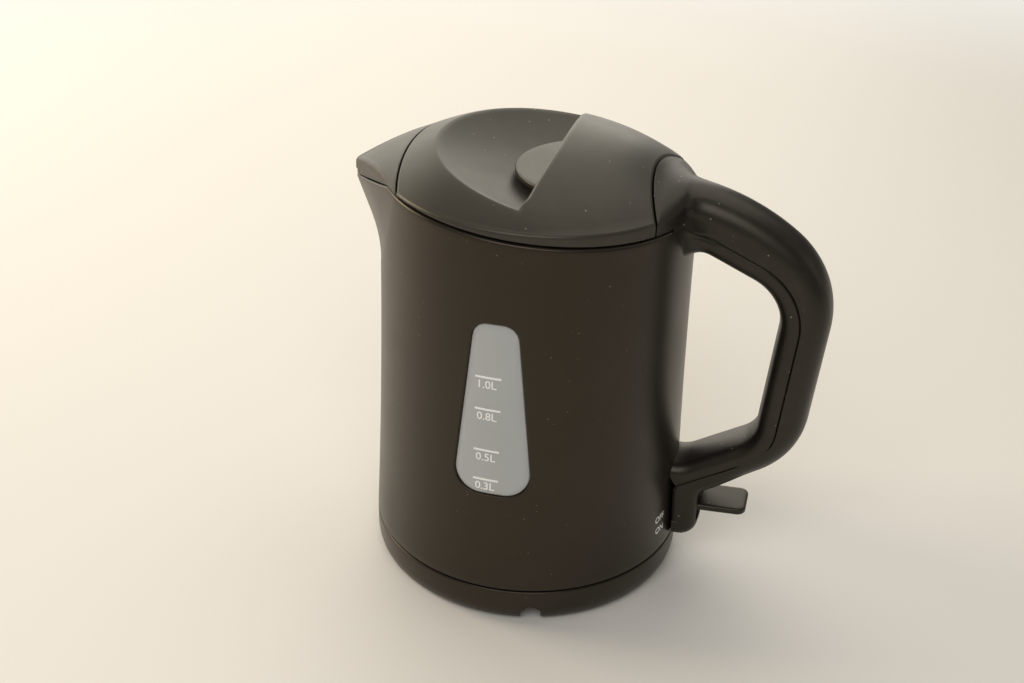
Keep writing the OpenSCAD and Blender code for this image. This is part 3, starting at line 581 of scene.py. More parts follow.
class KETTLE_OT_body(bpy.types.Operator):
    """Body with spout, rim, lid ledge and window recess, as one wall closed on itself"""
    bl_idname = "kettle.body"
    bl_label = "Body"

    def execute(self, context):
        s = sizes()
        th = body_theta()
        zt = np.full_like(th, s.rim_z)
        for _ in range(4):
            zt = rim_height(body_outline(th, zt) * np.cos(th))

        def wall(z, inset=0.0):
            return polar(th, body_outline(th, z) - inset, z)

        rows = [wall(s.body_z + FOOT_ROUND * (1 - sn), FOOT_ROUND * (1 - cs)) for sn, cs in quarter(3)]
        rows = [wall(s.body_z, s.wall)] + rows[::-1]
        rows += [wall(z) for z in np.linspace(s.body_z + FOOT_ROUND, PATCH_Z0, 13)[1:]]
        ja = len(rows) - 1
        rows += [wall(z) for z in np.linspace(PATCH_Z0, PATCH_Z1, 35)[1:]]
        jb = len(rows) - 1
        rows += [wall(PATCH_Z1 + (zt - RIM_ROUND - PATCH_Z1) * f) for f in np.linspace(0, 1, 17)[1:]]
        edge = body_outline(th, zt - RIM_ROUND)
        rows += [polar(th, edge - RIM_ROUND * (1 - cs), zt - RIM_ROUND * (1 - sn)) for sn, cs in quarter(4, 1)]
        rin = body_outline(th, zt) - s.wall
        rows += [polar(th, rin + 0.5 * (1 - sn), zt - 0.5 * (1 - cs)) for sn, cs in quarter(2)]
        # lid ledge, which leaves the spout open
        flat = rim_plane(LEDGE_MEAN * np.cos(th))
        keep = ease((np.cos(th) + 0.86) / 0.1)
        edge = rin - 0.02 + (NECK_R - rin) * keep
        for drop, r in ((LEDGE_TOP, None), (LEDGE_TOP, edge), (LEDGE_LOW, edge), (LEDGE_LOW, None)):
            z = np.minimum(flat - drop, zt - 1.0)
            rows.append(wall(z, s.wall) if r is None else polar(th, r, z))
        for z in (165, 155, 145, 130, 100, 60, 41):
            rows.append(polar(th, body_outline(th, z) - s.wall, np.minimum(z, zt - 9)))
        p, q = shell(rows, True)
        nt = len(th)
        ia, ib = np.searchsorted(th, np.radians([249.99, 289.99]))
        row, col = np.divmod(q[:, 0], nt)
        q = q[~((row >= ja) & (row < jb) & (col >= ia) & (col < ib))]
        # edge of the patch round the window, anticlockwise seen from outside
        ni, nj = ib - ia, jb - ja
        i = np.concatenate([np.arange(ia, ib), np.full(nj, ib), np.arange(ib, ia, -1), np.full(nj, ia)])
        j = np.concatenate([np.full(ni, ja), np.arange(ja, jb), np.full(ni, jb), np.arange(jb, ja, -1)])
        rings = [p[j, i]]
        start = rings[0][:, [0, 2]]
        n = (ni, nj, ni, nj)
        first = trapezoid(0.75, n)
        rings += [on_body(start + (first - start) * f, 0.0) for f in np.linspace(0, 1, 8)[1:]]
        for grow, d in ((0.6, 0.02), (0.45, 0.07), (0.3, 0.16), (0.16, 0.32), (0.06, 0.6), (0.04, WIN_SEAT),
                        (-3, WIN_SEAT)):
            rings.append(on_body(trapezoid(grow, n), d))
        rings.append(on_body(spine(first, 86, 138), WIN_SEAT))
        w, k = shell(rings)
        put("body", [(p, q), (w, k[:, ::-1])], "kettle", ["body_shell"], "body_black")
        return {"FINISHED"}


class KETTLE_OT_window(bpy.types.Operator):
    """Frosted window lens with its litre lines and numbers"""
    bl_idname = "kettle.window"
    bl_label = "Window"

    def execute(self, context):
        n = (32, 40, 20, 40)
        mid = spine(trapezoid(0.0, n), 84, 138)
        flat, face, back = -3.4, 0.42, 1.55
        rings = [on_body(mid + (trapezoid(flat, n) - mid) * f, face) for f in (0.0, 0.3, 0.6, 0.85)]
        # pillow edge: a soft bend, a sloping border and a rounded rim
        for grow, d in ((flat, face), (-3.0, 0.43), (-2.5, 0.47), (-2.0, 0.54), (-1.4, 0.65), (-0.8, 0.78),
                        (-0.45, 0.87), (-0.22, 0.98), (-0.06, 1.15), (0.0, 1.35), (0.0, back)):
            rings.append(on_body(trapezoid(grow, n), d))
        rings.append(on_body(mid, back))
        put("window", [shell(rings)], "kettle", ["window_lens"], "window_frost")
        # print: bars and letters that stand a little out of the lens
        low, top, half = 0.40, 0.33, 0.48
        x = np.linspace(-8.0, 3.2, 25)
        parts = []
        for _, z, _ in GAUGE:
            bar = [on_body(np.column_stack([x, np.full_like(x, z + dz)]), d)
                   for dz, d in ((-half, low), (-half, top), (half, top), (half, low))]
            parts.append(shell(bar, True, False))
        for text, _, z in GAUGE:
            co, q = outline_text(text, 5.1)
            parts.append((on_body(co[:, :2] + np.array([-2.6, z]), top), q))
        put("gauge_print", parts, "kettle", [], "white_print", flip=False)
        return {"FINISHED"}


def outline_text(text, size):
    """Filled letters as triangles in the plane, in millimetres, centred on their width."""
    curve = bpy.data.curves.new("letters", "FONT")
    curve.body, curve.size, curve.resolution_u, curve.offset = text, size, 4, 0.014 * size
    obj = bpy.data.objects.new("letters", curve)
    bpy.context.scene.collection.objects.link(obj)
    dg = bpy.context.evaluated_depsgraph_get()
    mesh = bpy.data.meshes.new_from_object(obj.evaluated_get(dg))
    co = np.zeros(len(mesh.vertices) * 3)
    mesh.vertices.foreach_get("co", co)
    co = co.reshape(-1, 3)
    mesh.calc_loop_triangles()
    tri = np.zeros(len(mesh.loop_triangles) * 3, np.int64)
    mesh.loop_triangles.foreach_get("vertices", tri)
    tri = tri.reshape(-1, 3)
    bpy.data.objects.remove(obj)
    bpy.data.curves.remove(curve)
    bpy.data.meshes.remove(mesh)
    co[:, 0] -= (co[:, 0].min() + co[:, 0].max()) / 2
    return co, np.concatenate([tri, tri[:, 2:]], 1)


def lid_edge(phi):
    """Distance along phi from the lid's middle to its outline: edge circle, spout seam arc and saddle arc,
    taken nearest."""
    s = sizes()
    u = ray(phi)

    def cross(cx, rad, far):
        """Far or near crossing of a circle centred on the X axis."""
        w = np.array([LID_MID - cx, 0.0])
        b = u @ w
        d = b * b - (w @ w - rad * rad)
        root = np.sqrt(np.maximum(d, 0))
        return np.where(d > 0, -b + root, 1e6) if far else np.where((d > 0) & (b < 0), -b - root, 1e6)

    out = np.minimum(cross(0.0, s.lid_r, True), cross(SEAM_R - s.seam_x, SEAM_R - LID_GAP / 2, True))
    return np.minimum(out, cross(s.saddle_x + SADDLE_R, SADDLE_R + LID_GAP, False))


def bowl_edge(u):
    """Distance along u from the lid's middle to the bowl's outline: a leaning circle seen from above, cut by
    the bowed wall, with corners softened by a high power mean."""
    s = sizes()
    a = math.radians(s.bowl_lean)
    d0 = math.sqrt(s.dome_r ** 2 - s.bowl_r ** 2)
    ex, ax, ay = s.dome_x + d0 * math.sin(a), s.bowl_r * math.cos(a), s.bowl_r
    w = np.array([(LID_MID - ex) / ax, 0.0])
    v = u / np.array([ax, ay])
    vv, vw = (v * v).sum(1), v @ w
    ellipse = (-vw + np.sqrt(vw ** 2 - vv * (w @ w - 1))) / vv
    off = LID_MID - s.bowl_x + BOW_R
    b = u[:, 0] * off
    wall = -b + np.sqrt(b * b - off ** 2 + BOW_R ** 2)
    power = 34.0
    return (ellipse ** -power + wall ** -power) ** (-1 / power)


class KETTLE_OT_lid(bpy.types.Operator):
    """Domed lid with the finger bowl, the slot in its bowed wall, and a rounded edge"""
    bl_idname = "kettle.lid"
    bl_label = "Lid"

    def execute(self, context):
        s = sizes()
        end = s.bowl_x - BOW_R + math.sqrt(BOW_R ** 2 - SLOT_W ** 2)
        slot = math.atan2(SLOT_W, end - LID_MID)
        phi = np.radians(np.arange(0, 360, 0.75))
        more = np.array([slot - 1e-4, slot + 1e-4, -slot - 1e-4, -slot + 1e-4])
        phi = np.sort(np.concatenate([phi, np.mod(more, 2 * np.pi)]))
        u = ray(phi)
        base = np.array([LID_MID, 0.0])
        rb = bowl_edge(u)
        pb = base + u * rb[:, None]
        nb = normals2(pb)
        zf, zt = bowl(*pb.T), dome(*pb.T)
        high = np.maximum(zt - zf, 0)
        rho = np.minimum(2.8, 0.42 * high)
        foot = np.minimum(2.2, 0.3 * high)
        open_side = 1 - ease((high - 0.4) / 2.0)

        def soft(m, own):
            """Height near the bowl's open edge, where bowl and dome run into each other in a rounded crease."""
            p, q = bowl(*m.T), dome(*m.T)
            low = 0.5 * (p + q - np.sqrt((p - q) ** 2 + 0.55 ** 2))
            return low * open_side + own * (1 - open_side)

        rows = []
        for f in (0.0, 0.1, 0.25, 0.4, 0.55, 0.7, 0.82, 0.89, 0.93, 0.96):
            m = base + u * (rb * f)[:, None]
            rows.append(lift(m, soft(m, bowl(*m.T))))
        for sn, cs in quarter(4):
            m = pb - nb * (foot * (1 - sn))[:, None]
            rows.append(lift(m, soft(m, np.maximum(bowl(*m.T), zf - 3) + foot * (1 - cs))))
        inside = (np.abs(phi - np.pi) > np.pi - slot)
        z0, z1 = (np.clip(z, zf + foot, zt - rho) for z in (SLOT_Z0, SLOT_Z1))
        for z, push in ((z0, 0), (z0, SLOT_IN), (z1, SLOT_IN), (z1, 0)):
            rows.append(lift(pb + np.array([1.0, 0.0]) * (push * inside)[:, None], soft(pb, z)))
        for sn, cs in quarter(6):
            m = pb + nb * (rho * (1 - cs))[:, None]
            rows.append(lift(m, soft(m, dome(*m.T) - rho * (1 - sn))))
        pi = pb + nb * rho[:, None]
        pa = base + u * lid_edge(phi)[:, None]
        na = normals2(pa)
        po = pa - na * LID_ROUND
        for f in np.linspace(0, 1, 22)[1:] ** 1.6:
            m = pi + (po - pi) * f
            rows.append(lift(m, soft(m, dome(*m.T))))
        zo = dome(*po.T)
        for sn, cs in quarter(6, 1):
            rows.append(lift(pa - na * LID_ROUND * (1 - sn), zo - 0.35 * sn - LID_ROUND * (1 - cs)))
        low = np.minimum(rim_plane(pa[:, 0]) + 0.8, zo - LID_ROUND - 0.5)
        for inset, dz in ((0.0, 0.35), (0.1, 0.1), (0.35, 0.0), (6.0, 0.0)):
            rows.append(lift(pa - na * inset, low + dz))
        rows.append(lift(np.repeat(base[None], len(phi), 0), float(low.mean())))
        put("lid", [shell(rows)], "lid", ["lid_top"], "lid_black", 38)
        return {"FINISHED"}


class KETTLE_OT_tab(bpy.types.Operator):
    """Release tab: a rounded plate that comes out of the bowl's wall"""
    bl_idname = "kettle.tab"
    bl_label = "Release tab"

    def execute(self, context):
        s = sizes()
        cx, xb = s.bowl_x - TAB_OUT + TAB_R, s.bowl_x + 3.0
        lim = math.acos((cx - xb) / TAB_R)
        a = np.pi + np.linspace(-lim, lim, 121)
        arc = np.array([cx, 0.0]) + TAB_R * ray(a)
        back = np.stack([np.full(39, xb), np.linspace(arc[-1, 1], arc[0, 1], 41)[1:-1]], -1)
        g = plate(np.concatenate([arc, back]), np.array([s.bowl_x - 3, 0.0]), (0.0, 0.3, 0.6, 0.85),
                  TAB_Z, TAB_Z - TAB_T, TAB_E0, TAB_E1)
        put("release_tab_plate", [g], "release_tab", ["release_tab"], "lid_black")
        return {"FINISHED"}


class KETTLE_OT_spout_cover(bpy.types.Operator):
    """Spout cover: a cone that runs on from the dome, with a rounded edge and the pour opening"""
    bl_idname = "kettle.spout_cover"
    bl_label = "Spout cover"

    def execute(self, context):
        s = sizes()
        ang = np.linspace(-1, 1, 281)
        th = np.pi + np.radians(47.0) * np.sign(ang) * np.abs(ang) ** 1.5
        r = beak_radius(th, s.lid_r, s.spout_x, s.spout_tip_r)
        front = r[:, None] * ray(th)
        seam = SEAM_R - s.seam_x - np.sqrt((SEAM_R + LID_GAP / 2) ** 2 - front[:, 1] ** 2)
        keep = front[:, 0] < seam - 0.05
        front, seam = front[keep], seam[keep]
        back = np.stack([seam, front[:, 1]], -1)
        t = np.gradient(front, axis=0)
        t /= np.linalg.norm(t, axis=1, keepdims=True)
        nf = np.stack([t[:, 1], -t[:, 0]], -1)
        nf *= np.sign((nf * front).sum(1))[:, None]
        lowb, lowf = rim_height(back[:, 0]) + 0.05, rim_height(front[:, 0]) + 0.05
        tall = np.maximum(spout_top(*front.T) - lowf, 0.1)
        room = np.maximum(back[:, 0] - front[:, 0], 0.02)
        e = np.minimum(np.minimum(2.6, 0.55 * tall), 0.35 * room)[:, None]
        k = np.minimum(0.6, 0.2 * room)[:, None]
        along = np.array([1.0, 0])
        rows = [lift(front - nf * np.minimum(2.2, 0.4 * room)[:, None], lowf), lift(back, lowb)]
        for sn, cs in quarter(3)[::-1]:
            m = back - along * k * (1 - sn)
            rows.append(lift(m, spout_top(*m.T) - k[:, 0] * (1 - cs)))
        a0, a1 = back - along * k, front - nf * e
        for f in np.linspace(0, 1, 14)[1:]:
            m = a0 + (a1 - a0) * f
            rows.append(lift(m, spout_top(*m.T)))
        zo = spout_top(*a1.T)
        for a in np.radians([12, 24, 36, 48, 60, 75, 90]):
            rows.append(lift(front - nf * e * (1 - math.sin(a)),
                             np.maximum(zo - e[:, 0] * (1 - math.cos(a)), lowf + 0.02)))
        # pour opening: the lowest part of the tip's front stands back
        tip = (np.abs(front[:, 1]) < 3.9) & (front[:, 0] < -78)
        zq = np.where(tip, np.minimum(lowf + 2.4, zo - e[:, 0]), lowf + 0.01)
        set_in = front - nf * (0.8 * tip)[:, None]
        rows += [lift(front, zq), lift(set_in, zq), lift(set_in, lowf)]
        put("spout_cover_shell", [shell(rows, True, False)], "kettle", ["spout_cover"],
            "lid_black", 38)
        return {"FINISHED"}


# handle

def meet(a, da, b, db):
    """Meeting point of two lines given by normal angle and distance."""
    a, b = math.radians(a), math.radians(b)
    k = math.sin(b - a)
    return np.array([(da * math.sin(b) - db * math.sin(a)) / k, (db * math.cos(a) - da * math.cos(b)) / k])


class Handle:
    """Points of the handle's outer and finger-side outlines in the XZ plane."""

    def __init__(self):
        self.p_bc = GRIP_TOP
        self.c_b = self.p_bc - KNEE_OUT_R * unit(-LEAN)
        p_ab = self.c_b + KNEE_OUT_R * unit(KNEE)
        self.c_a = p_ab - ARM_R * unit(KNEE)
        self.p_a0 = self.c_a + ARM_R * unit(ROOT)
        self.p_cd = self.p_bc + GRIP_L * unit(-90 - LEAN)
        self.c_d = self.p_cd - HEEL_R * unit(-LEAN)
        self.p_de = self.c_d + HEEL_R * unit(LOW)
        self.d_grip = float(self.p_bc @ unit(-LEAN)) - GRIP_T
        self.d_low = float(self.p_de @ unit(LOW)) - GRIP_T + LOW_MORE
        self.c1 = meet(G_TOP, G_TOP_D - KNEE_R, -LEAN, self.d_grip - KNEE_R)
        self.c2 = meet(-LEAN, self.d_grip - GAP_R, G_LOW, self.d_low - GAP_R)

    def on_top(self, x, off=0.0):
        """Height of the finger gap's upper side, moved out by off."""
        return (G_TOP_D + off - x * math.cos(math.radians(G_TOP))) / math.sin(math.radians(G_TOP))

    def on_low(self, x):
        """Height of the finger gap's lower side."""
        return (self.d_low - x * math.cos(math.radians(G_LOW))) / math.sin(math.radians(G_LOW))

    def depth(self, p, a, off):
        """Distance from outer points p along their inward normals to the seam between the halves."""
        n = unit(a)
        t = np.zeros(len(p))
        for m, d in ((G_TOP, G_TOP_D), (-LEAN, self.d_grip), (G_LOW, self.d_low)):
            k = n @ unit(m)
            t = np.maximum(t, np.where(k > 0.2, (p @ unit(m) - d - off) / np.where(k > 0.2, k, 1), 0))
        for c, rad, lo, hi in ((self.c1, KNEE_R, -LEAN, G_TOP), (self.c2, GAP_R, G_LOW, -LEAN)):
            e = p - n * t[:, None] - c
            g = np.degrees(np.arctan2(e[:, 1], e[:, 0]))
            q = p - c
            h = (q * n).sum(1)
            r = h - np.sqrt(np.maximum(0, h * h - (q * q).sum(1) + (rad + off) ** 2))
            t = np.where((g > lo) & (g < hi), np.maximum(t, r), t)
        return t

    def seam_height(self, x):
        """Height of the seam under the saddle: just over the rim, then down to the seam between the halves."""
        rim = rim_plane(x) + 0.35
        return rim + (self.on_top(x, INNER_T + 0.15) - rim) * ease((x - SEAM_X0) / SEAM_RUN)


def saddle_width(x, rf, rad):
    """Half width of the handle seen from above: saddle arc, circle of radius rad, hollow corner of radius rf,
    then arm."""
    s = sizes()
    arc = np.sqrt(np.maximum(0, SADDLE_R ** 2 - (s.saddle_x + SADDLE_R - x) ** 2))
    rim = np.sqrt(np.maximum(0, rad ** 2 - x ** 2))
    xc = math.sqrt((rad + rf) ** 2 - (s.handle_w + rf) ** 2)
    fil = s.handle_w + rf - np.sqrt(np.maximum(0, rf ** 2 - (x - xc) ** 2))
    xt = xc * rad / (rad + rf)
    return np.where(x < xt, np.minimum(arc, rim), np.where(x < xc, fil, s.handle_w))


def channel(w, g, c, d, t, top, corner, leg, flare):
    """Half outline of a channel from its middle to its open edge: crown of sag g, corner of radius c, then a
    leg to depth d that spreads by flare. Returns (depth, y) grids for stations (rows) and samples (columns);
    t insets the inner side."""
    w, g, c, d = (np.asarray(k, float)[:, None] for k in (w, g, c, d))
    w, c = w - t, np.maximum(c - t, 0.3)
    sy = w - c
    for _ in range(3):
        b = np.arctan(2 * g / np.maximum(sy, 1))
        sy = w - c * (1 - np.sin(b))
    y1 = sy * top
    d1 = g * top ** 2 + t + 0 * y1
    th = b + (np.pi / 2 - b) * corner
    cy, cd = sy - c * np.sin(b), g + t + c * np.cos(b)
    y2, d2 = cy + c * np.sin(th), cd - c * np.cos(th)
    d3 = d2[:, -1:] + (np.maximum(d, d2[:, -1:] + 0.05) - d2[:, -1:]) * leg
    y3 = w + np.reshape(flare, (-1, 1)) * leg ** 1.6 + 0 * d3
    return np.concatenate([d1, d2, d3], 1), np.concatenate([y1, y2, y3], 1)


def both_sides(dep, y):
    """A half outline and its mirror image as one."""
    return np.concatenate([dep[:, ::-1], dep[:, 1:]], 1), np.concatenate([-y[:, ::-1], y[:, 1:]], 1)


def carried(p, a, dep, y, sgn=1.0):
    """Section points (depth, y) at stations p with outward angle a, as a grid of points."""
    n = unit(a)
    x = p[:, 0:1] - sgn * dep * n[:, 0:1]
    z = p[:, 1:2] - sgn * dep * n[:, 1:2]
    return np.stack([x, y, z], -1)


def bend(c, r, a0, a1, n, skip=0):
    """Points of an arc about c in n steps, with their normal angles."""
    a = np.linspace(a0, a1, n + 1)[skip:]
    return c + r * unit(a), a


def straight(p, q, shares, a):
    """Points at shares of the way from p to q, all with normal angle a."""
    return p + (q - p) * shares[:, None], np.full(len(shares), float(a))


def stations(seg):
    """Points and normal angles of a path's segments, and where each segment ends."""
    return (np.concatenate([q[0] for q in seg]), np.concatenate([q[1] for q in seg]),
            np.cumsum([len(q[0]) for q in seg]))


class KETTLE_OT_handle_cover(bpy.types.Operator):
    """Handle cover: one channel from the saddle over the arm and grip to the switch housing"""
    bl_idname = "kettle.handle_cover"
    bl_label = "Handle cover"

    def path(self, h):
        """Saddle as a cubic from the dome to the arm, then arm, knee, grip, heel, lower arm and housing."""
        s = sizes()
        w0 = np.linspace(1.5, 36.2, 18)
        x0 = s.saddle_x + SADDLE_R - np.sqrt(SADDLE_R ** 2 - w0 ** 2)
        x0 = np.concatenate([x0, np.linspace(x0[-1], h.p_a0[0], 20)[1:-1]])
        dx = h.p_a0[0] - s.saddle_x
        f = (x0 - s.saddle_x) / dx
        z_a, z_b = float(dome(np.array(s.saddle_x), 0.0)), h.p_a0[1]
        m_a, m_b = -0.49, -math.tan(math.radians(90 - ROOT))
        z0 = ((2 * f ** 3 - 3 * f ** 2 + 1) * z_a + (f ** 3 - 2 * f ** 2 + f) * dx * m_a
              + (3 * f ** 2 - 2 * f ** 3) * z_b + (f ** 3 - f ** 2) * dx * m_b)
        n_l = unit(LOW)
        cx = HOUSE_X + HOUSE_HOLLOW
        cz = (cx * n_l[0] - (float(h.p_de @ n_l) + HOUSE_HOLLOW)) / -n_l[1]
        hollow = np.array([cx, cz])
        zs = np.array([LEVER_SLOT_Z1 + 0.02, LEVER_SLOT_Z1, LEVER_SLOT_Z1, 36, 32, LEVER_SLOT_Z0, LEVER_SLOT_Z0,
                       LEVER_SLOT_Z0 - 0.02, HOUSE_Z + 0.01])
        zs = zs[zs < cz - 0.02]
        foot = np.linspace(HOUSE_X - HOUSE_R, 71.9, 4)[1:]
        steps = np.linspace(0, 1, 9)[1:]
        turned = np.linspace(LOW, 0, 9)[1:]
        return stations([
            (np.column_stack([x0, z0]), np.full(len(x0), 90.0)),
            bend(h.c_a, ARM_R, ROOT, KNEE, 14),
            bend(h.c_b, KNEE_OUT_R, KNEE, -LEAN, 24, 1),
            straight(h.p_bc, h.p_cd, steps[:-1], -LEAN),
            bend(h.c_d, HEEL_R, -LEAN, LOW, 20),
            straight(h.p_de, hollow - HOUSE_HOLLOW * n_l, steps, LOW),
            (hollow - HOUSE_HOLLOW * unit(turned), turned),
            (np.column_stack([np.full(len(zs), HOUSE_X), zs]), np.zeros(len(zs))),
            bend(np.array([HOUSE_X - HOUSE_R, HOUSE_Z]), HOUSE_R, 0, -90, 12),
            (np.column_stack([foot, np.full(len(foot), HOUSE_Z - HOUSE_R)]), np.full(len(foot), -90.0))])

    def execute(self, context):
        s, h = sizes(), Handle()
        p, a, count = self.path(h)
        x, z = p.T
        idx = np.arange(len(p))
        upper, low_end, lower = idx < count[1], idx >= count[3], idx >= count[4]
        a = np.where(upper, a + (90 - a) * (1 - ease((x - 69) / 18)), a)
        # half width, spread at the seam, corner radius and sag of the crown at each station
        to_box = ease((112 - x) / 24) * low_end
        boxed = np.where(z < 60, to_box, 0)
        w = np.where(upper, saddle_width(x, 8.0, s.lid_r), s.handle_w)
        flare = np.where(upper, saddle_width(x, 20.0, s.lid_r) - w, 0.0)
        w = np.where(low_end, s.handle_w + (HOUSE_W - s.handle_w) * boxed, w)
        arm = np.where(upper, ease((x - 61.5) / 8.5), 1.0)
        crown = np.where(upper, 1.0, np.where(idx < count[2], ease((a - 5) / 45), 0.0))
        c_saddle, c_arm, c_box = 1.2, 9.5, 5.0
        c = np.minimum(c_saddle + (c_arm - c_saddle) * arm, np.maximum(0.73 * w, 0.3))
        c = np.where(low_end, c_arm + (c_box - c_arm) * boxed, c)
        xs = np.minimum(x, 64.6)
        sag = np.maximum(z - dome(xs, saddle_width(xs, 8.0, s.lid_r)), 0.05)
        g = np.where(upper, sag * (1 - arm) + 2.6 * arm, 1.0 + 1.6 * crown)
        g = np.where(low_end, 1.0 - 0.7 * to_box, g)
        # depth of the legs: to the seam, and to the body at the lower end
        d = h.depth(p, a, INNER_T + 0.3)
        d = np.where(upper & (x < ARM_X), z - h.seam_height(x) - 0.25, d)
        nx = unit(a)[:, 0]
        body = np.where(nx > 0.05, (x - body_radius(z) - 0.15) / np.maximum(nx, 0.05), 1e3)
        d = np.where(lower, np.minimum(np.where(d > 0.5, d, 1e3), body), d)
        d = np.where(idx >= count[7], np.minimum(d, HOUSE_R - 0.2), d)
        top, leg = np.linspace(0, 1, 15), np.linspace(0, 1, 9)[1:]
        corner = np.sort(np.concatenate([np.linspace(0, 1, 9)[1:], [LEVER_SLOT_T, LEVER_SLOT_T]]))
        do, yo = channel(w, g, c, d, 0.0, top, corner, leg, flare)
        yo[:, -1] -= 0.45
        # lever slot: stations and samples inside it are pushed in
        j = len(top) + int(np.searchsorted(corner, LEVER_SLOT_T))
        st = (idx >= count[6]) & (idx < count[7]) & (z <= LEVER_SLOT_Z1) & (z >= LEVER_SLOT_Z0)
        st[np.nonzero(st)[0][[0, -1]]] = False
        do[np.ix_(st, np.arange(j + 1))] += LEVER_SLOT_IN
        d_out, y_out = both_sides(do, yo)
        d_in, y_in = both_sides(*channel(w, g, c, d, 2.0, top, corner, leg, flare))
        d_in = np.minimum(d_in, d[:, None] - 0.02)
        d_in = np.maximum(d_in, d_out + 0.3 * (d_out < d[:, None] - 1))
        outer, inner = carried(p, a, d_out, y_out), carried(p, a, d_in, y_in)
        parts = [shell(np.concatenate([outer, inner[:, ::-1]], 1))]
        # front wall of the saddle and the closed lower end
        for i in (0, -1):
            n = unit(a[i])
            inward = np.array([n[0], 0.0, n[1]])
            edge = outer[i]
            wall, q = shell([edge, edge - inward * (d[i] - d_out[i])[:, None]], False, False)
            parts.append((wall, q[:, ::-1] if i == 0 else q))
        put("handle_cover_shell", parts, "kettle", ["handle_cover"], "handle_black", 50)
        return {"FINISHED"}


class KETTLE_OT_handle_inner(bpy.types.Operator):
    """Finger side of the handle: a channel that grows out of the body at both ends"""
    bl_idname = "kettle.handle_inner"
    bl_label = "Handle inner half"

    def execute(self, context):
        s, h = sizes(), Handle()
        x0, x1, root_r = 62.0, 67.4, 67.9
        k = np.linspace(0, 1, 31)[:-1] ** 1.3
        k = x0 + ((h.c1 + KNEE_R * unit(G_TOP))[0] - x0) * k
        m = np.linspace((h.c2 + GAP_R * unit(G_LOW))[0], x1, 16)[1:]
        p, a, count = stations([
            (np.column_stack([k, h.on_top(k)]), G_TOP + (90 - G_TOP) * (1 - ease((k - 68) / 14))),
            bend(h.c1, KNEE_R, G_TOP, -LEAN, 16),
            bend(h.c2, GAP_R, -LEAN, G_LOW, 16),
            (np.column_stack([m, h.on_low(m)]), np.full(len(m), G_LOW))])
        idx = np.arange(len(p))
        x, z = p.T
        upper, lower = idx < count[0], idx >= count[2]
        w = np.where(upper, saddle_width(x, 10.0, root_r), s.handle_w)
        flare = np.where(upper, saddle_width(x, 20.0, root_r) - w, 0.0)
        d = np.full(len(p), INNER_T - 0.1)
        d = np.where(upper, (INNER_T - 0.1) / np.cos(np.radians(a - G_TOP)), d)
        d = np.where(upper & (x < ARM_X), h.seam_height(x) - 0.25 - z, d)
        # both ends thicken into the body
        near = np.where(lower | upper, 6.0 * np.clip((76 - x) / 8.0, 0, 1.2) ** 2, 0.0)
        p = p - unit(a) * near[:, None] * 0.6
        d = d + near * 0.6
        top, corner, leg = np.linspace(0, 1, 9), np.linspace(0, 1, 11)[1:], np.linspace(0, 1, 6)[1:]
        g, c = np.full(len(p), 0.8), np.full(len(p), 6.4)
        do, yo = channel(w, g, c, d, 0.0, top, corner, leg, flare)
        yo[:, -1] -= 0.4
        d_out, y_out = both_sides(do, yo)
        d_in, y_in = both_sides(*channel(w, g, c, d, 2.0, top, corner, leg, flare))
        # the inner face runs past the seam as a tongue, so no light comes through
        d_in = np.minimum(d_in, d[:, None] - 0.02)
        d_in[:, [0, -1]] = d[:, None] + 1.2
        ring = np.concatenate([carried(p, a, d_out, y_out, -1.0), carried(p, a, d_in, y_in, -1.0)[:, ::-1]], 1)
        put("handle_inner_shell", [shell(ring)], "kettle", ["handle_inner"],
            "handle_black", 50)
        return {"FINISHED"}


class KETTLE_OT_lever(bpy.types.Operator):
    """Switch lever: a plate with round corners and edges on its hub"""
    bl_idname = "kettle.lever"
    bl_label = "Switch lever"

    def execute(self, context):
        tilt, w, x1 = math.radians(LEVER_TILT), LEVER_W, LEVER_L - LEVER_R
        turn = np.linspace(-90, 0, 13)
        p = np.concatenate([[[0.5, -w], [6, -w], [14, -w]],
                            np.array([x1, LEVER_R - w]) + LEVER_R * unit(turn),
                            np.array([x1, w - LEVER_R]) + LEVER_R * unit(turn + 90),
                            [[14, w], [6, w], [0.5, w], [0.5, 0.0]]])
        g, q = plate(p, np.array([14.0, 0.0]), (0.0, 0.5, 0.85), LEVER_TOP, LEVER_LOW, LEVER_E, LEVER_E)
        x, z = g[..., 0].copy(), g[..., 2].copy()
        g[..., 0] = LEVER_X + x * math.cos(tilt) - z * math.sin(tilt)
        g[..., 2] = LEVER_Z + x * math.sin(tilt) + z * math.cos(tilt)
        t = np.radians(np.arange(0, 360, 7.5))
        hub = [np.stack([LEVER_X + rad * np.cos(t), np.full(len(t), y), LEVER_Z + rad * np.sin(t)], -1)
               for rad, y in ((0.0, -8.8), (3.3, -8.8), (3.8, -8.3), (3.8, 8.3), (3.3, 8.8), (0.0, 8.8))]
        put("lever_plate", [(g, q), shell(hub)], "switch_lever", ["switch_lever"],
            "handle_black")
        return {"FINISHED"}


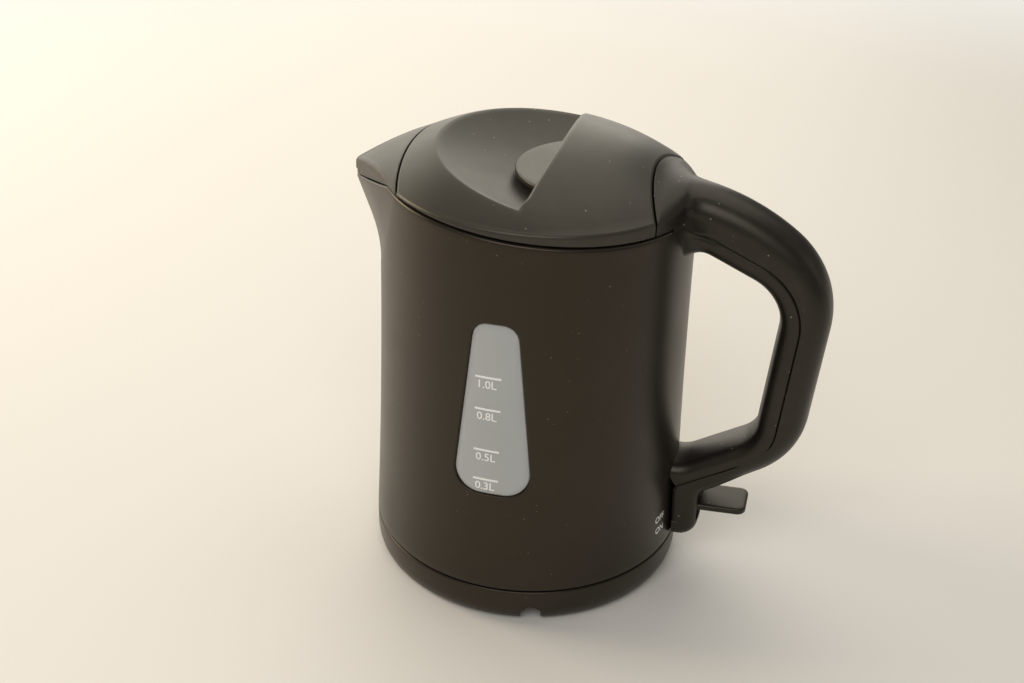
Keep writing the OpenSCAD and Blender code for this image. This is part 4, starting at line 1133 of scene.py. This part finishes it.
class KETTLE_OT_base(bpy.types.Operator):
    """Power base ring and deck, turned from one profile, with the cord notch cut out"""
    bl_idname = "kettle.base"
    bl_label = "Power base"

    def execute(self, context):
        t = np.radians(np.arange(0, 360, 1.0))
        r, hole = sizes().base_r, 17.0
        prof = [[r - 5.1, 1.2], [r - 4.2, 1.2], [r - 3.4, 1.35], [r - 2.4, 1.9], [r - 1.5, 2.9], [r - 0.8, 4.4],
                [r - 0.3, 6.2], [r, 8.6], [r, 12.5], [r, 16.2], [r - 0.1, 16.75], [r - 0.4, 17.1],
                [r - 0.9, 17.2], [r - 2.0, 17.2], [r - 2.5, 17.05], [r - 2.9, 16.5], [r - 3.3, 15.0],
                [hole, 15.0], [hole, 12.8], [r - 3.0, 12.8], [r - 2.5, 12.2], [r - 2.5, 8.2], [r - 3.1, 4.8],
                [r - 4.6, 3.2]]
        rows = [polar(t, np.full(len(t), a), b) for a, b in prof]
        obj = put("base_ring", [shell(rows, True)], "base", ["base_cover"], "base_black")
        k = np.radians(np.arange(0, 360, 10))
        ring = NOTCH_R * np.stack([np.cos(k), np.where(np.sin(k) < 0, 1.8, 1.0) * np.sin(k)], -1)
        ux, uy = (np.append(unit(NOTCH_TURN + a), 0.0) for a in (0, 90))
        up = np.array([0, 0, 1.0])
        rows = [ux * d + ring[:, :1] * f * uy + up * (NOTCH_Z + ring[:, 1:] * f)
                for d, f in ((58, 0), (58, 1), (82, 1), (82, 0))]
        carve(obj, joined("notch", [shell(rows)]))
        return {"FINISHED"}


class KETTLE_OT_switch_print(bpy.types.Operator):
    """ON and OFF beside the lever, printed on the body"""
    bl_idname = "kettle.switch_print"
    bl_label = "Switch words"

    def execute(self, context):
        parts, turn = [], -18.6
        for text, z in (("OFF", 34.0), ("ON", 28.0)):
            co, q = outline_text(text, 4.6)
            zz = z + co[:, 1]
            r = body_radius(zz) + 0.03
            parts.append((polar(np.radians(turn) + co[:, 0] / r, r, zz), q))
        put("switch_print", parts, "kettle", [], "white_print", flip=False)
        return {"FINISHED"}


class KETTLE_OT_inside(bpy.types.Operator):
    """Finishes for the pieces that keep their construction solids"""
    bl_idname = "kettle.inside"
    bl_label = "Inside pieces"

    def execute(self, context):
        slots = {p["node"]: p["material_slot"] for p in frame["record"]["subparts"]}
        pick = {"black_plastic": "body_black", "window": "window_frost"}
        for name, obj in frame["nodes"].items():
            obj.data.materials.clear()
            obj.data.materials.append(finish_of(pick.get(slots[name], slots[name])))
        return {"FINISHED"}


def lay_floor(scene):
    """Pale floor. Far off, where no lamp reaches, the camera sees it as pale as the background."""
    m, t, b, co = material("pale_floor")
    pale = tuple(colours().floor)
    feed(t, b, {"Base Color": blend(t, noise(t, co, 3.0, 6.0), tone(pale, 0.97), pale), "Roughness": 0.6})
    far = add(t, "ShaderNodeVectorMath", {0: co}, operation="LENGTH").outputs["Value"]
    fade = remap(t, far, *FADE, interpolation_type="SMOOTHSTEP")
    seen = calc(t, "MULTIPLY", fade, add(t, "ShaderNodeLightPath").outputs["Is Camera Ray"])
    glow = add(t, "ShaderNodeEmission", {"Color": BACKGROUND, "Strength": 1.0})
    shade = add(t, "ShaderNodeMixShader", {0: seen, 1: b.outputs["BSDF"], 2: glow.outputs[0]})
    feed(t, t.nodes["Material Output"], {"Surface": shade.outputs[0]})
    n, half = 13, 3
    x, y = np.meshgrid(np.linspace(-half, half, n), np.linspace(-half, half, n), indexing="ij")
    g = np.stack([x, y, np.zeros((n, n))], -1)
    mesh = bpy.data.meshes.new("floor")
    mesh.from_pydata(g.reshape(-1, 3).tolist(), [], grid(n, n).tolist())
    mesh.materials.append(m)
    floor = bpy.data.objects.new("floor", mesh)
    scene.collection.objects.link(floor)


def make_world(scene):
    """Background colour for the camera, and a faint warm light from all round for everything else."""
    w = bpy.data.worlds.new("studio")
    scene.world = w
    w.use_nodes = True
    t = w.node_tree
    t.nodes.clear()
    seen = add(t, "ShaderNodeBackground", {"Color": BACKGROUND, "Strength": 1.0})
    faint = add(t, "ShaderNodeBackground", {"Color": (0.90, 0.87, 0.82, 1), "Strength": 0.15})
    path = add(t, "ShaderNodeLightPath")
    mix = add(t, "ShaderNodeMixShader",
              {0: path.outputs["Is Camera Ray"], 1: faint.outputs[0], 2: seen.outputs[0]})
    add(t, "ShaderNodeOutputWorld", {"Surface": mix.outputs[0]})


def placed(scene, name, data, axes, place):
    """A lamp or camera with the given axes at its place."""
    o = bpy.data.objects.new(name, data)
    scene.collection.objects.link(o)
    o.matrix_world = Matrix(axes.tolist()).to_4x4()
    o.location = place
    return o


def hang_lamps(scene):
    """Rectangular lamps, each turned to its aim."""
    for name, place, aim, size, watts, colour in LAMPS:
        lamp = bpy.data.lights.new(name, "AREA")
        lamp.shape, lamp.size, lamp.size_y = "RECTANGLE", size[0], size[1]
        lamp.energy, lamp.color = watts, colour
        z = np.array(place) - np.array(aim)
        z /= np.linalg.norm(z)
        x = np.cross([0, 0, 1.0], z)
        x /= np.linalg.norm(x)
        placed(scene, name, lamp, np.column_stack([x, np.cross(z, x), z]), place)


def set_camera(scene):
    """The camera that took the photograph: sideways turn and dip, then roll, then a turn about Z."""
    cam = bpy.data.cameras.new("camera")
    cam.sensor_fit, cam.sensor_width, cam.lens = "HORIZONTAL", 36.0, 36.0 * CAMERA_F
    cam.clip_start = 0.01
    psi, theta, rho, turn = np.radians(CAMERA_TURNS)
    fwd = np.array([math.sin(psi) * math.cos(theta), math.cos(psi) * math.cos(theta), -math.sin(theta)])
    right = np.array([math.cos(psi), -math.sin(psi), 0])
    down = np.cross(fwd, right)
    right, down = (math.cos(rho) * right + math.sin(rho) * down,
                   -math.sin(rho) * right + math.cos(rho) * down)
    rz = np.array([[math.cos(turn), -math.sin(turn), 0], [math.sin(turn), math.cos(turn), 0], [0, 0, 1]])
    scene.camera = placed(scene, "camera", cam, rz @ np.column_stack([right, -down, -fwd]), CAMERA_AT)


class KETTLE_OT_stage(bpy.types.Operator):
    """Pale floor, soft light and the camera"""
    bl_idname = "kettle.stage"
    bl_label = "Stage"

    def execute(self, context):
        context.scene.view_settings.view_transform = "Standard"
        for step in (lay_floor, make_world, hang_lamps, set_camera):
            step(context.scene)
        return {"FINISHED"}


class KETTLE_PT_panel(bpy.types.Panel):
    """Lists the kettle's pieces"""
    bl_idname = "KETTLE_PT_panel"
    bl_label = "Electric kettle"
    bl_space_type = "VIEW_3D"
    bl_region_type = "UI"
    bl_category = "Kettle"

    def draw(self, context):
        for op in PIECES:
            self.layout.operator(op.bl_idname)
        for group in (context.scene.kettle_sizes, context.scene.kettle_colours):
            for name in group.__annotations__:
                self.layout.prop(group, name)


PIECES = (KETTLE_OT_inside, KETTLE_OT_base, KETTLE_OT_body, KETTLE_OT_window, KETTLE_OT_spout_cover,
          KETTLE_OT_handle_inner, KETTLE_OT_handle_cover, KETTLE_OT_lever, KETTLE_OT_switch_print,
          KETTLE_OT_lid, KETTLE_OT_tab, KETTLE_OT_stage)
CLASSES = (KettleSizes, KettleColours) + PIECES + (KETTLE_PT_panel,)


def register():
    for c in CLASSES:
        bpy.utils.register_class(c)
    bpy.types.Scene.kettle_sizes = PointerProperty(type=KettleSizes)
    bpy.types.Scene.kettle_colours = PointerProperty(type=KettleColours)


def unregister():
    del bpy.types.Scene.kettle_colours
    del bpy.types.Scene.kettle_sizes
    for c in reversed(CLASSES):
        bpy.utils.unregister_class(c)


def main():
    register()
    for op in PIECES:
        group, name = op.bl_idname.split(".")
        if getattr(getattr(bpy.ops, group), name)() != {"FINISHED"}:
            raise RuntimeError(op.bl_label)


if __name__ == "__main__":
    main()
